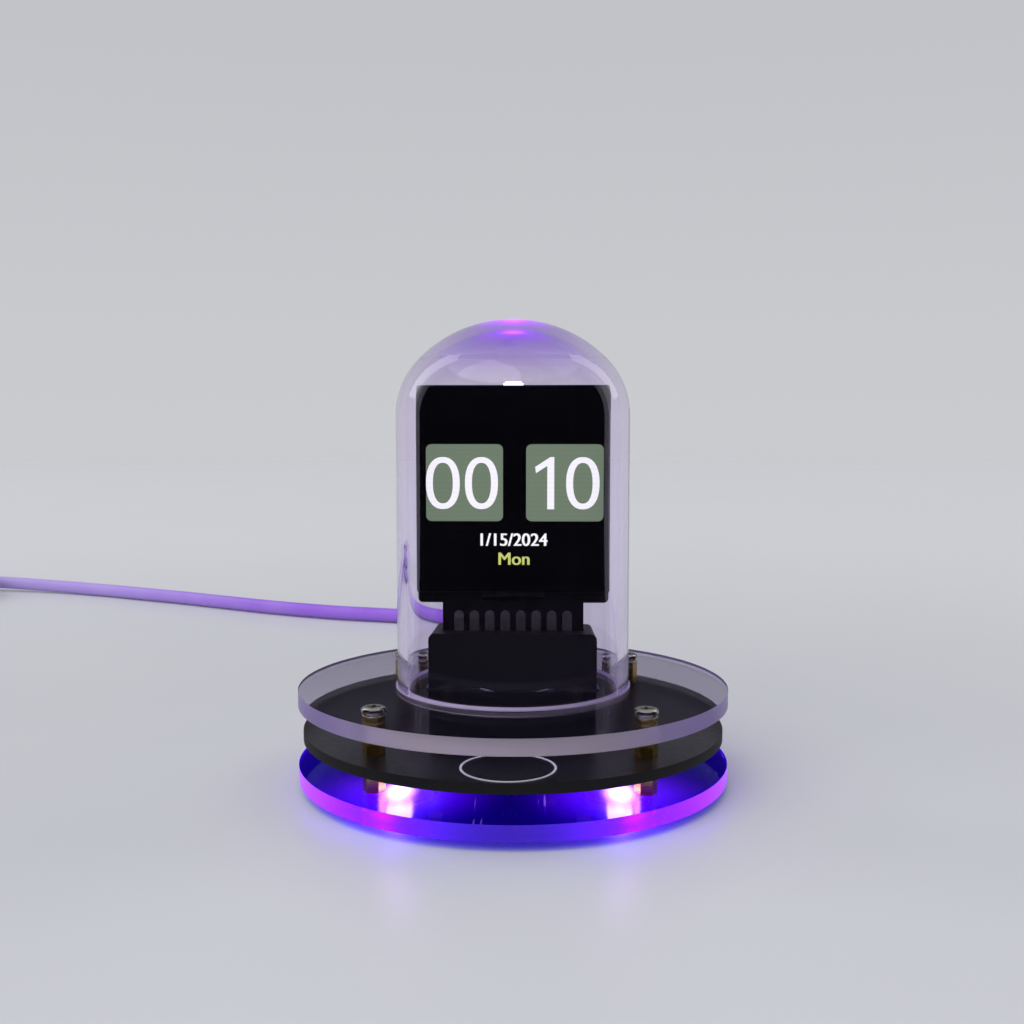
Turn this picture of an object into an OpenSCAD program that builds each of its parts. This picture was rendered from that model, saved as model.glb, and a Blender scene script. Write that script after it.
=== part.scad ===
// Desk clock: a square colour display on a plug-in card under a clear dome,
// standing on a stack of two clear plates with a black control board between them.
// Millimetres, +Z up. The origin is on the dome's axis, on the surface the clock stands on.
// The display faces -Y and the power lead leaves at +Y.

/* [Plates] */
// Diameter of the two clear plates
plate_d = 70; // [66:1:78]
// Thickness of each clear plate
plate_t = 2.5; // [2:0.1:3]
// Gap between the lower plate and the control board
lower_gap = 4; // [3.8:0.1:6]
// Gap between the control board and the upper plate
upper_gap = 4; // [3.6:0.1:7]
// Play round the socket in the upper plate's slot
slot_play = 0.4; // [0.2:0.1:0.8]
// Corner radius of the upper plate's slot
slot_round = 0.3; // [0.2:0.1:0.5]

/* [Control board] */
// How far the board's rim stands inside the plates' rim
board_inset = 0.8; // [0.3:0.1:1.5]
// Thickness of the control board
board_t = 1.6; // [1:0.1:2]
// Outside diameter of the printed touch ring
ring_d = 14; // [10:0.5:15]
// Width of the ring's printed line
ring_line = 0.35; // [0.2:0.05:0.8]
// Thickness of the ring's print
ring_t = 0.1; // [0.05:0.05:0.2]
// Distance from the ring to the board's rim
ring_inset = 0.4; // [0.2:0.1:2]

/* [Screws and standoffs] */
// Distance between neighbouring screws
screw_span = 40.5; // [38:0.5:43]
// Diameter of the screw's thread
screw_d = 1.9; // [1.6:0.1:2.1]
// Play of a screw in a plate or board
hole_play = 0.3; // [0.1:0.1:0.6]
// Play of a thread in its standoff
thread_play = 0.1; // [0.05:0.05:0.2]
// Diameter of a screw's head
head_d = 3.8; // [3.4:0.1:4.4]
// Height of a lower screw's pan head, which is a foot
head_h = 1.4; // [1.2:0.1:1.8]
// Radius of the pan head's rounded rim
head_round = 0.5; // [0.2:0.1:0.8]
// Height of an upper screw's low head
low_head_h = 0.7; // [0.65:0.05:1.2]
// Radius of the low head's rounded rim
low_head_round = 0.6; // [0.3:0.05:0.6]
// Width of the cross recess's arms
cross_w = 0.5; // [0.3:0.05:0.7]
// Length of the cross recess from end to end
cross_l = 2; // [1.4:0.1:2.4]
// Depth of the cross recess in a pan head
cross_h = 0.8; // [0.4:0.1:1]
// Depth of the cross recess in a low head
low_cross_h = 0.4; // [0.3:0.05:0.5]
// How far an upper screw reaches into its standoff
upper_bite = 2.5; // [1.5:0.1:2.8]
// How far a lower screw reaches into its standoff
lower_bite = 1.5; // [1:0.1:1.8]
// How far an upper standoff's stud reaches into the lower one
stud_bite = 1.5; // [1:0.1:1.8]
// Width of a hexagonal standoff across its flats
standoff_w = 3; // [2.8:0.1:3.4]

/* [Card socket] */
// Depth of the socket from front to back
socket_w = 9.5; // [8.6:0.1:10.5]
// Height of the socket above the board
socket_h = 15.3; // [13:0.1:18]
// Wall at each end of the socket
socket_end = 1.75; // [1:0.05:2.5]
// Radius of the socket's upper corners
socket_round = 1; // [0.5:0.1:1.5]
// Depth of the card's slot
socket_slot = 8.5; // [7:0.1:9.5]
// Play of the card in the slot, on each side
card_play = 0.15; // [0.05:0.05:0.3]
// Widening of the slot at its mouth
mouth_lead = 0.5; // [0.2:0.1:0.8]
// Width of a spring contact
contact_w = 0.7; // [0.4:0.05:1]
// Thickness of a spring contact
contact_t = 0.35; // [0.2:0.05:0.5]
// Distance from the card's middle to a row of pins
contact_row = 2.54; // [2.2:0.02:3]
// Play round a contact in its pocket
pocket_play = 0.25; // [0.1:0.05:0.4]
// Cover over the top of the contacts' pockets
pocket_cover = 1.6; // [1:0.1:2.4]
// Length of the pins below the board
pin_tail = 1.8; // [1:0.1:2.4]

/* [Display card] */
// Thickness of the card
card_t = 1.6; // [1.2:0.1:2]
// How far the card's middle stands behind the dome's axis
card_back = 0.6; // [0:0.1:1.5]
// Number of contact pads on each face
pad_count = 8; // [6:1:9]
// Distance from pad to pad
pad_pitch = 2.54; // [2:0.02:2.7]
// Width of a pad
pad_w = 1.56; // [1:0.02:1.8]
// Thickness of a pad
pad_t = 0.05; // [0.03:0.01:0.1]
// Height of the pads that shows above the socket
pad_show = 3.2; // [2:0.1:4]
// Margin from the outer pads to the neck's sides
pad_margin = 1.9; // [0.8:0.1:2.4]
// Height of the card's neck that shows above the socket
neck_show = 4.5; // [4.2:0.1:7]
// Radius of the card's corners
card_round = 0.8; // [0.3:0.1:1.5]

/* [Display] */
// Width of the display
lcd_w = 31.5; // [29:0.1:34]
// Height of the display
lcd_h = 33.7; // [30:0.1:38]
// Height of the display above the card's shoulders
lcd_lift = 1.8; // [1.6:0.1:3]
// Thickness of the display's frame and back light
frame_t = 1.2; // [0.8:0.1:1.8]
// Thickness of the display's glass
glass_t = 0.9; // [0.6:0.1:1.4]
// Margin of the frame round the glass
glass_margin = 0.3; // [0.2:0.05:0.8]
// Height of the ledge below the front glass
glass_ledge = 2.4; // [1:0.1:3]
// Width of the display's flexible tail
flex_w = 10; // [8:0.5:12]
// Thickness of the flexible tail
flex_t = 0.15; // [0.1:0.01:0.2]
// Bend radius of the flexible tail
flex_bend = 0.5; // [0.3:0.05:0.6]
// Height of the card's slot for the flexible tail
flex_slot = 0.8; // [0.5:0.05:0.9]

/* [Dome] */
// Wall of the dome
dome_wall = 1.6; // [1.2:0.1:2.4]
// Room between the display's corners and the dome's straight wall
dome_room = 1.45; // [1:0.05:3]
// Room between the display's upper corners and the dome's head
dome_tip = 0.3; // [0.2:0.05:0.8]
// Inside radius of the dome's shoulder
dome_shoulder = 11.4; // [8:0.1:13]
// How much the crown's inside radius exceeds the dome's
dome_crown = 2.45; // [1:0.05:6]
// Depth of the upper plate's groove for the dome
groove_h = 1; // [0.4:0.1:1.2]
// Play of the dome in its groove, on each side
groove_play = 0.3; // [0.1:0.05:0.6]

/* [Lights] */
// Side of a light under the board
led_w = 3.5; // [2.8:0.1:4]
// Height of a light under the board
led_h = 1.7; // [1.2:0.1:2]
// Diameter of a light's window
led_window = 2.8; // [2:0.1:3]
// Gap from a light to its standoff
led_gap = 0.3; // [0.2:0.1:1]
// Width of the light at the card's top
crown_led_w = 3.2; // [2.4:0.1:4]
// How far that light stands above the display
crown_led_show = 0.7; // [0.4:0.1:1]

/* [Board parts] */
// Length of the radio module
radio_l = 24; // [20:0.5:26]
// Width of the radio module
radio_w = 16; // [14:0.5:17]
// Thickness of the radio module's board
radio_t = 0.8; // [0.6:0.1:1]
// Height of the radio module's shield
shield_h = 2.2; // [1.6:0.1:2.4]
// Width of the power socket
usb_w = 8.94; // [8.8:0.02:9.2]
// Height of the power socket
usb_h = 3.2; // [3.1:0.05:3.3]
// Wall of the power socket
usb_wall = 0.3; // [0.25:0.01:0.35]
// Depth of the power socket
usb_l = 7.3; // [7:0.1:8]
// Distance from the power socket's mouth to the plates' rim
usb_inset = 0.1; // [0:0.1:0.5]
// Angle from the power socket round to the reset switch
reset_angle = 25; // [22:1:28]
// Travel of the reset button
reset_travel = 0.25; // [0.15:0.05:0.4]

/* [Power lead] */
// Diameter of the lead
cable_d = 4; // [3.6:0.1:4.2]
// Number of turns in each layer of the coil
coil_turns = 3; // [2:1:3]
// Gap between neighbouring turns
coil_gap = 0.5; // [0.45:0.05:1]
// Outside radius of the coil's first turn
coil_r = 27.5; // [24:0.5:28]
// Thickness of the coil's ties
tie_t = 0.6; // [0.4:0.1:1]
// Width of the coil's ties
tie_w = 6; // [4:0.5:8]
// Play of the plug in the power socket, on each side
plug_play = 0.1; // [0.05:0.01:0.15]
// Length of the plug's metal shell
plug_l = 6.6; // [6.2:0.1:6.9]
// Width of the plug's grip
grip_w = 12; // [10.5:0.5:14]
// Height of the plug's grip
grip_h = 6.4; // [5.6:0.1:7.4]
// Length of the plug's grip
grip_l = 18; // [14:0.5:20]
// Length of the plug's bend relief
boot_l = 8; // [6:0.5:10]

/* [Hidden] */
$fn = 96;
// A cut runs this far past the face it opens
past = 0.5;
// Blocks of one moulded piece lap by this much
lap = 0.01;

// Heights of the stack
base_z = head_h;
lower_top_z = base_z + plate_t;
board_z = lower_top_z + lower_gap;
board_top_z = board_z + board_t;
top_z = board_top_z + upper_gap;
top_face_z = top_z + plate_t;
socket_top_z = board_top_z + socket_h;
slot_floor_z = socket_top_z - socket_slot;
card_floor_gap = 0.4;
card_z = slot_floor_z + card_floor_gap;
shoulder_z = socket_top_z + neck_show;
lcd_z = shoulder_z + lcd_lift;
lcd_top_z = lcd_z + lcd_h;

// Plan sizes
plate_r = plate_d / 2;
board_r = plate_r - board_inset;
hole_d = screw_d + hole_play;
bore_d = screw_d + thread_play;
neck_w = (pad_count - 1) * pad_pitch + pad_w + 2 * pad_margin;
socket_l = neck_w + 2 * card_play + 2 * socket_end;
card_front = card_back - card_t / 2;
card_rear = card_back + card_t / 2;
frame_front = card_front - frame_t;
glass_front = frame_front - glass_t;
ring_y = -(board_r - ring_inset - ring_d / 2);

// Spring contacts
pin_play = 0.3;
pin_hole_d = norm([contact_w, contact_t]) + pin_play;
touch_gap = 0.02;
touch_off = card_t / 2 + pad_t + touch_gap + contact_t / 2;
pocket_w = contact_w + 2 * pocket_play;
pocket_back = contact_row + contact_t / 2 + pocket_play;
pocket_top_z = socket_top_z - pocket_cover;
contact_top_z = pocket_top_z - pocket_play;
contact_flare = 0.4;
contact_knee = 4;
contact_rise = 2;
touch_z = (contact_top_z + slot_floor_z) / 2 + contact_rise;

// Dome: the straight wall clears the display's front corners, and the head clears them at its top
corner_r = norm([lcd_w / 2, glass_front]);
dome_in_r = corner_r + dome_room;
dome_out_r = dome_in_r + dome_wall;
dome_foot_z = top_face_z - groove_h;
head_drop = sqrt(pow(dome_shoulder, 2) - pow(dome_shoulder - (dome_room - dome_tip), 2));
head_z = lcd_top_z - head_drop;
arc_steps = 9;

// Flexible tail of the display
flex_z = shoulder_z + lcd_lift / 2;
flex_front = (card_front + frame_front) / 2;
flex_room = 0.1;
flex_back = card_rear + flex_room + flex_bend;
flex_side_play = 0.15;
connector_l = 3.6;
connector_lift = 2.3;
connector_z = lcd_z + connector_lift;
connector_side = 1.5;
connector_latch = 0.6;

// Parts under the board
led_x = screw_span / 2 - standoff_w / sqrt(3) - led_gap - led_w / 2;
led_rim = 0.35;
shield_l = 15;
shield_w = 12;
shield_round = 0.8;
shield_side = -3;
castle_d = 1;
castle_pitch = 2;
castle_count = 8;
castle_edge = 1.5;
usb_mouth_y = plate_r - usb_inset;
usb_axis_z = board_z - usb_h / 2;
usb_floor = 0.5;
port_w = usb_w - 2 * usb_wall;
port_h = usb_h - 2 * usb_wall;
tongue_w = 6.4;
tongue_t = 0.7;
tongue_short = 0.9;

// Moulded chips: place, body, reach over the legs, and the legs' width, pitch and count
leg_t = 0.15;
leg_lift = 0.1;
serial_place = [16.5, 8];
serial_body = [9.9, 3.9, 1.5];
serial_reach = 6;
serial_legs = [0.4, 1.27, 7];
touch_place = [0, -18];
touch_body = [2.9, 1.6, 1.1];
touch_reach = 2.8;
touch_legs = [0.35, 0.95, 3];
regulator_inset = 7.7;
regulator_place = [-11.5, board_r - regulator_inset];
regulator_body = [6.5, 3.5, 1.6];
regulator_reach = 7;
regulator_legs = [0.7, 2.3, 3];
regulator_tab = [3, 1, 1];

// The radio module lies before the regulator, and two resistors lie behind the module
part_gap = 0.5;
resistor_gap = 3;
radio_y = regulator_place[1] - regulator_reach / 2 - part_gap - radio_w / 2;
behind_radio_y = radio_y + radio_w / 2 + resistor_gap;

// Small end-capped parts, under the board and on the card's back
chip_size = [1.6, 0.8, 0.7];
chip_places = [[-7, 10], [7, 10], [-9, 26], [9, 26]];
capacitor_size = [2, 1.25, 0.9];
capacitor_places = [
  [-11, -22], [11, -22], [-22.5, 14], [22.5, 14], [-17, 8], [-17, 11], [-17, 14], [6, -14]
];
resistor_size = [1.6, 0.8, 0.45];
resistor_places = [
  [-6, behind_radio_y], [6.5, behind_radio_y], [-4, -14], [16, 15],
  [-14, -6], [14, -6], [-17, 4], [0, -10]
];

// Reset switch, in a frame whose +Y runs outwards along its own radius
reset_size = [4.2, 3, 2];
reset_rim = 0.5;
reset_front_y = board_r - reset_rim;
button_size = [1.6, 0.9];
button_reach = 1.2;
button_root = 0.9;
button_play = 0.15;

// Plug that enters the power socket
grip_gap = 0.3;
plug_y = plate_r + grip_gap;
plug_w = port_w - 2 * plug_play;
plug_h = port_h - 2 * plug_play;
plug_floor = 0.6;
tongue_play = 0.25;
grip_round = 2.4;
grip_corner = 1.6;
boot_y = plug_y + grip_l;
lead_y = boot_y + boot_l;
boot_d = 6;
boot_end_wall = 0.4;
boot_end_d = cable_d + 2 * boot_end_wall;
boot_ribs = 3;
boot_groove = 0.5;

// Coil of the lead's unseen length: it spirals in on the lower layer, climbs, and spirals out above.
// The upper spiral stops a quarter turn short, where the lead heads for the supply plug.
lead_back = 204;
coil_x = -202;
coil_y = lead_back - coil_r;
tie_play = 0.3;
coil_z = tie_t + tie_play + cable_d / 2;
coil_step = cable_d + coil_gap;
coil_sides = 6;
turn_rings = 24;
climb_turns = 0.5;
short_turns = 0.25;
upper_turns = coil_turns - short_turns;
all_turns = coil_turns + climb_turns + upper_turns;
coil_top_z = coil_z + coil_step;
coil_end_r = coil_radius(all_turns);
start_angle = 90;
tie_angles = [45, 225];
tie_round = 1.5;

// Route of the lead from the plug to its coil: straight out, down to the surface and away to the left
cable_sides = 8;
cable_lay_z = 2.1;
lead_route = [
  [0, lead_y, usb_axis_z], [0, lead_y + cable_d, usb_axis_z], [0, 72, 5.9], [0, 79, 4.9], [0, 86, 3.7],
  [0, 93, 2.7], [0, 100, 2.2], [-0.5, 107, cable_lay_z], [-2, 114, cable_lay_z],
  [-4.5, 121, cable_lay_z], [-8.5, 127.5, cable_lay_z], [-14, 133, cable_lay_z],
  [-20.5, 138, cable_lay_z], [-28, 142, cable_lay_z], [-36, 145, cable_lay_z],
  [-45, 147.5, cable_lay_z], [-54, 150, cable_lay_z], [-63, 153.5, cable_lay_z],
  [-72, 157.5, cable_lay_z], [-81, 162, cable_lay_z], [-90, 167, cable_lay_z],
  [-99, 172, cable_lay_z], [-108, 177, cable_lay_z], [-117, 181.5, cable_lay_z],
  [-126, 186, cable_lay_z], [-135, 190.5, cable_lay_z], [-144, 194.5, cable_lay_z],
  [-153, 198, 2.2], [-162, 200.5, 2.4], [-171, 202.5, 2.7], [-180, lead_back, coil_z],
  [-189, lead_back, coil_z], [coil_x + cable_d, lead_back, coil_z]
];

// Supply end of the lead
supply_grip_size = [15.5, 22, 8];
supply_shell_size = [12, 12.5, 4.5];
supply_wall = 0.35;
supply_floor = 1;
supply_tongue_size = [10.4, 9.5, 1.8];
supply_window = [2.2, 2.6];
supply_x = coil_x - coil_end_r;
supply_lift = 0.1;
supply_z = supply_grip_size[2] / 2 + supply_lift;
tail_y = coil_y - cable_d;
supply_y = 144;
tail_route = [
  [supply_x, tail_y, coil_top_z], [supply_x, tail_y - cable_d, coil_top_z], [supply_x, 164, 6.8],
  [supply_x, 158, 5.6], [supply_x, 152, 4.6], [supply_x, supply_y + cable_d, supply_z],
  [supply_x, supply_y, supply_z]
];

acrylic = [0.86, 0.84, 0.92, 0.35];
lit_acrylic = [0.45, 0.3, 0.95, 0.5];
board_black = "#17171a";
plastic_black = "#1c1c1e";
steel = "#b9bcc0";
brass = "#c8a24a";
chip_black = "#26262a";
lead_white = "#ece9f0";

// Angle-wise radius and height of the coil, counted in turns
function coil_radius(t) =
  t < coil_turns + climb_turns / 2
  ? coil_r - coil_step * t
  : coil_r - coil_step * (2 * coil_turns + climb_turns - t);
function coil_height(t) =
  coil_z + coil_step * min(max((t - coil_turns) / climb_turns, 0), 1);
function coil_point(t) =
  let (a = start_angle + 360 * t)
  [coil_x + coil_radius(t) * cos(a), coil_y + coil_radius(t) * sin(a), coil_height(t)];
coil_turn_points = [for (i = [0 : round(all_turns * turn_rings)]) coil_point(i / turn_rings)];
coil_path = concat(
  [[coil_x + cable_d, coil_y + coil_r, coil_z]],
  coil_turn_points,
  [[supply_x, tail_y, coil_top_z]]
);
// The least distance between points that lie half a turn or more apart, less the lead's diameter
coil_self_gap = min([
  for (i = [0 : len(coil_turn_points) - 1])
    for (j = [i + turn_rings / 2 : 1 : len(coil_turn_points) - 1])
      norm(coil_turn_points[i] - coil_turn_points[j])
]) - cable_d;
// Radii of the turns that pass an angle
function radii_at(angle) =
  [for (t = [(angle - start_angle + 360) % 360 / 360 : 1 : all_turns]) coil_radius(t)];
function path_length(p, i = 1) = i == len(p) ? 0 : norm(p[i] - p[i - 1]) + path_length(p, i + 1);
echo(coil_self_gap = coil_self_gap);
echo(lead_length = path_length(lead_route) + path_length(coil_path) + path_length(tail_route));

function unit(v) = v / norm(v);
function last(p) = len(p) - 1;

// A ring of points round each point of a path, square to the path, then the skin over the rings
function ring_at(p, i, r, sides) =
  let (
    along = unit(p[min(i + 1, last(p))] - p[max(i - 1, 0)]),
    side = unit(cross(along, [0, 0, 1])),
    up = cross(side, along)
  )
  [for (k = [0 : sides - 1])
    let (a = 360 * (k + 0.5) / sides) p[i] + r * (cos(a) * side + sin(a) * up)];
module tube(p, r, sides) {
  points = [for (i = [0 : last(p)]) each ring_at(p, i, r, sides)];
  skin = [
    for (i = [0 : last(p) - 1])
      for (k = [0 : sides - 1])
        let (n = (k + 1) % sides, a = i * sides, b = a + sides)
        each [[a + k, a + n, b + k], [a + n, b + n, b + k]]
  ];
  end = last(p) * sides;
  caps = [for (k = [1 : sides - 2]) each [[0, k + 1, k], [end, end + k, end + k + 1]]];
  polyhedron(points, concat(skin, caps));
}

// A strip of even thickness along a line of points in a plane
function normal_of(a, b) = let (u = unit(b - a)) [-u[1], u[0]];
function strip_side(p, t) = [
  for (i = [0 : last(p)])
    let (
      before = normal_of(p[max(i - 1, 0)], p[max(i, 1)]),
      after = normal_of(p[min(i, last(p) - 1)], p[min(i + 1, last(p))]),
      middle = unit(before + after)
    )
    p[i] + middle * t / (middle * before)
];
function reversed(p) = [for (i = [last(p) : -1 : 0]) p[i]];
module strip(p, t) {
  polygon(concat(strip_side(p, t / 2), reversed(strip_side(p, -t / 2))));
}
function arc(c, r, from, to) =
  [for (i = [0 : arc_steps]) let (a = from + (to - from) * i / arc_steps) c + r * [cos(a), sin(a)]];

// Outlines drawn in the XZ plane and pushed along Y, or drawn in the YZ plane and pushed along X
module along_y(from, to) {
  translate([0, to, 0]) rotate([90, 0, 0]) linear_extrude(to - from) children();
}
module along_x(width) {
  rotate([90, 0, 90]) translate([0, 0, -width / 2]) linear_extrude(width) children();
}
module rounded(w, h, r) {
  square([w - 2 * r, h], center = true);
  square([w, h - 2 * r], center = true);
  for (x = [-1, 1], y = [-1, 1])
    translate([x * (w / 2 - r), y * (h / 2 - r)]) circle(r);
}
module stadium(w, h) {
  square([w - h, h], center = true);
  for (x = [-1, 1])
    translate([x * (w - h) / 2, 0]) circle(d = h);
}
module at_screws(z) {
  for (x = [-1, 1], y = [-1, 1])
    translate([x * screw_span / 2, y * screw_span / 2, z]) children();
}
module at_pads() {
  for (i = [0 : pad_count - 1])
    translate([(i - (pad_count - 1) / 2) * pad_pitch, 0, 0]) children();
}
// Both rows of contacts, one before the card and one behind it
module at_rows() {
  for (side = [0, 1])
    translate([0, card_back, 0]) mirror([0, side, 0]) children();
}
module under_board(x, y) {
  translate([x, y, board_z]) mirror([0, 0, 1]) children();
}

// Clear plates
module plate_blank(z) {
  difference() {
    translate([0, 0, z]) cylinder(r = plate_r, h = plate_t);
    at_screws(z - past) cylinder(d = hole_d, h = plate_t + 2 * past);
  }
}
module base_plate() {
  color(lit_acrylic) plate_blank(base_z);
}
module top_plate() {
  color(acrylic)
    difference() {
      plate_blank(top_z);
      translate([0, card_back, top_z - past])
        linear_extrude(plate_t + 2 * past)
          rounded(socket_l + 2 * slot_play, socket_w + 2 * slot_play, slot_round);
      translate([0, 0, dome_foot_z])
        difference() {
          cylinder(r = dome_out_r + groove_play, h = groove_h + past);
          translate([0, 0, -past]) cylinder(r = dome_in_r - groove_play, h = groove_h + 3 * past);
        }
    }
}

// Screws, drawn head up with the head's seat at z = 0
module cross_screw(length, high, rim, deep) {
  difference() {
    union() {
      rotate_extrude() {
        square([head_d / 2 - rim, high]);
        square([head_d / 2, high - rim]);
        translate([head_d / 2 - rim, high - rim])
          intersection() {
            circle(rim);
            square(rim);
          }
      }
      translate([0, 0, -length]) cylinder(d = screw_d, h = length + high / 2);
    }
    for (turn = [0, 90])
      rotate([0, 0, turn])
        translate([-cross_l / 2, -cross_w / 2, high - deep]) cube([cross_l, cross_w, deep + past]);
  }
}
module upper_screws() {
  color(steel)
    at_screws(top_face_z) cross_screw(plate_t + upper_bite, low_head_h, low_head_round, low_cross_h);
}
module lower_screws() {
  color(steel)
    at_screws(base_z) mirror([0, 0, 1]) cross_screw(plate_t + lower_bite, head_h, head_round, cross_h);
}

// Hexagonal brass standoffs: the upper ones end in a stud that clamps the board to the lower ones
module hexagon_bar(h) {
  cylinder(d = 2 * standoff_w / sqrt(3), h = h, $fn = 6);
}
module lower_standoffs() {
  color(brass)
    at_screws(lower_top_z)
      difference() {
        hexagon_bar(lower_gap);
        translate([0, 0, -past]) cylinder(d = bore_d, h = lower_gap + 2 * past);
      }
}
module upper_standoffs() {
  bore_room = 0.4;
  color(brass)
    at_screws(board_top_z) {
      difference() {
        hexagon_bar(upper_gap);
        translate([0, 0, upper_gap - upper_bite - bore_room]) cylinder(d = bore_d, h = upper_gap);
      }
      translate([0, 0, -board_t - stud_bite]) cylinder(d = screw_d, h = board_t + stud_bite + past);
    }
}

// Control board with its screw holes and the socket's pin holes
module control_board() {
  color(board_black)
    difference() {
      translate([0, 0, board_z]) cylinder(r = board_r, h = board_t);
      at_screws(board_z - past) cylinder(d = hole_d, h = board_t + 2 * past);
      at_rows() at_pads()
        translate([0, contact_row, board_z - past]) cylinder(d = pin_hole_d, h = board_t + 2 * past);
    }
}
module touch_ring() {
  color("#d8d8dc")
    translate([0, ring_y, board_top_z])
      difference() {
        cylinder(d = ring_d, h = ring_t);
        translate([0, 0, -past]) cylinder(d = ring_d - 2 * ring_line, h = ring_t + 2 * past);
      }
}

// Card-edge socket: a slot for the card with a pocket for each spring contact on both sides
module card_socket() {
  slot_w = card_t + 2 * card_play;
  color(plastic_black)
    difference() {
      along_y(card_back - socket_w / 2, card_back + socket_w / 2)
        translate([0, board_top_z]) {
          translate([-socket_l / 2, 0]) square([socket_l, socket_h - socket_round]);
          translate([0, socket_h / 2]) rounded(socket_l, socket_h, socket_round);
        }
      translate([-neck_w / 2 - card_play, card_back - slot_w / 2, slot_floor_z])
        cube([neck_w + 2 * card_play, slot_w, socket_slot + past]);
      translate([0, card_back, 0])
        along_x(neck_w + 2 * card_play)
          polygon([
            [-slot_w / 2, socket_top_z - mouth_lead], [slot_w / 2, socket_top_z - mouth_lead],
            [slot_w / 2 + mouth_lead + past, socket_top_z + past],
            [-slot_w / 2 - mouth_lead - past, socket_top_z + past]
          ]);
      at_rows() at_pads()
        translate([-pocket_w / 2, card_t / 2, board_top_z - past])
          cube([pocket_w, pocket_back - card_t / 2, pocket_top_z - board_top_z + past]);
    }
}
// Spring contacts: a pin through the board, a spring that leans on the pad, and a flared tip
module socket_contacts() {
  line = [
    [contact_row, board_z - pin_tail], [contact_row, board_top_z + contact_knee],
    [touch_off, touch_z], [touch_off + contact_flare, contact_top_z]
  ];
  color(brass)
    at_rows() at_pads() along_x(contact_w) strip(line, contact_t);
}

// Display card with a neck that enters the socket and a slot for the display's flexible tail
module card_outline() {
  lead_in = 0.5;
  polygon([
    [-neck_w / 2 + lead_in, card_z], [neck_w / 2 - lead_in, card_z], [neck_w / 2, card_z + lead_in],
    [neck_w / 2, shoulder_z + past], [-neck_w / 2, shoulder_z + past], [-neck_w / 2, card_z + lead_in]
  ]);
  translate([0, (shoulder_z + lcd_top_z) / 2]) rounded(lcd_w, lcd_top_z - shoulder_z, card_round);
}
module display_card() {
  color(board_black)
    along_y(card_front, card_rear)
      difference() {
        card_outline();
        translate([0, flex_z]) square([flex_w + 2 * flex_side_play, flex_slot], center = true);
      }
}
module card_pads() {
  pad_edge = 0.6;
  pad_z = card_z + pad_edge;
  round_z = socket_top_z + pad_show - pad_w / 2;
  color("#9a9a98")
    at_rows() at_pads()
      along_y(card_t / 2, card_t / 2 + pad_t) {
        translate([-pad_w / 2, pad_z]) square([pad_w, round_z - pad_z]);
        translate([0, round_z]) circle(d = pad_w);
      }
}
module lcd_frame() {
  frame_round = 0.4;
  color("#0c0c0e")
    along_y(frame_front, card_front)
      translate([0, lcd_z + lcd_h / 2]) rounded(lcd_w, lcd_h, frame_round);
}
// The rear glass carries the driver on a ledge that the shorter front glass leaves free
module lcd_glass() {
  w = lcd_w - 2 * glass_margin;
  h = lcd_h - 2 * glass_margin;
  color("#08080c")
    translate([-w / 2, glass_front, lcd_z + glass_margin]) {
      translate([0, glass_t / 2, 0]) cube([w, glass_t / 2, h]);
      translate([0, 0, glass_ledge]) cube([w, glass_t / 2, h - glass_ledge]);
    }
}
module lcd_flex() {
  line = concat(
    [[flex_front, lcd_z]],
    arc([flex_front + flex_bend, flex_z + flex_bend], flex_bend, 180, 270),
    arc([flex_back - flex_bend, flex_z + flex_bend], flex_bend, 270, 360),
    [[flex_back, connector_z]]
  );
  color("#1d1a16") along_x(flex_w) strip(line, flex_t);
}
module flex_connector() {
  w = flex_w + 2 * connector_side;
  deep = flex_back - card_rear;
  body_l = connector_l - connector_latch;
  color("#e4e0d4")
    translate([-w / 2, card_rear, connector_z]) {
      cube([w, 2 * deep, body_l]);
      translate([0, 0, body_l - lap]) cube([w, deep, connector_latch + lap]);
    }
}
module card_chips() {
  color(chip_black)
    for (p = chip_places)
      translate([p[0], card_rear, lcd_z + p[1]]) rotate([-90, 0, 0]) end_capped_chip(chip_size);
}
module crown_led() {
  deep = 1.6;
  high = 2;
  lens = 0.3;
  color("#f2ecff")
    translate([-crown_led_w / 2, card_rear, lcd_top_z + crown_led_show - high]) {
      cube([crown_led_w, deep, high - lens]);
      translate([lens, lens, high - lens - lap]) cube([crown_led_w - 2 * lens, deep - 2 * lens, lens + lap]);
    }
}

// Lights under the board, each with a dished window that looks down
module base_leds() {
  color("#f2ecff")
    for (x = [-1, 1], y = [-1, 1])
      under_board(x * led_x, y * screw_span / 2)
        difference() {
          translate([-led_w / 2, -led_w / 2, 0]) cube([led_w, led_w, led_h]);
          translate([0, 0, led_h - led_rim])
            cylinder(d1 = led_window - led_rim, d2 = led_window, h = led_rim + lap);
        }
}

// Radio module under the board, with its shield over the chip and a bare end for the aerial.
// Half holes along both long edges are its solder joints.
module radio_module() {
  color("#1b2a4a")
    under_board(0, radio_y)
      difference() {
        translate([-radio_l / 2, -radio_w / 2, 0]) cube([radio_l, radio_w, radio_t]);
        for (i = [0 : castle_count - 1], side = [-1, 1])
          translate([castle_edge + i * castle_pitch - radio_l / 2, side * radio_w / 2, -past])
            cylinder(d = castle_d, h = radio_t + 2 * past);
      }
}
module radio_shield() {
  color(steel)
    under_board(shield_side, radio_y)
      translate([0, 0, radio_t]) linear_extrude(shield_h) rounded(shield_l, shield_w, shield_round);
}

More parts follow.
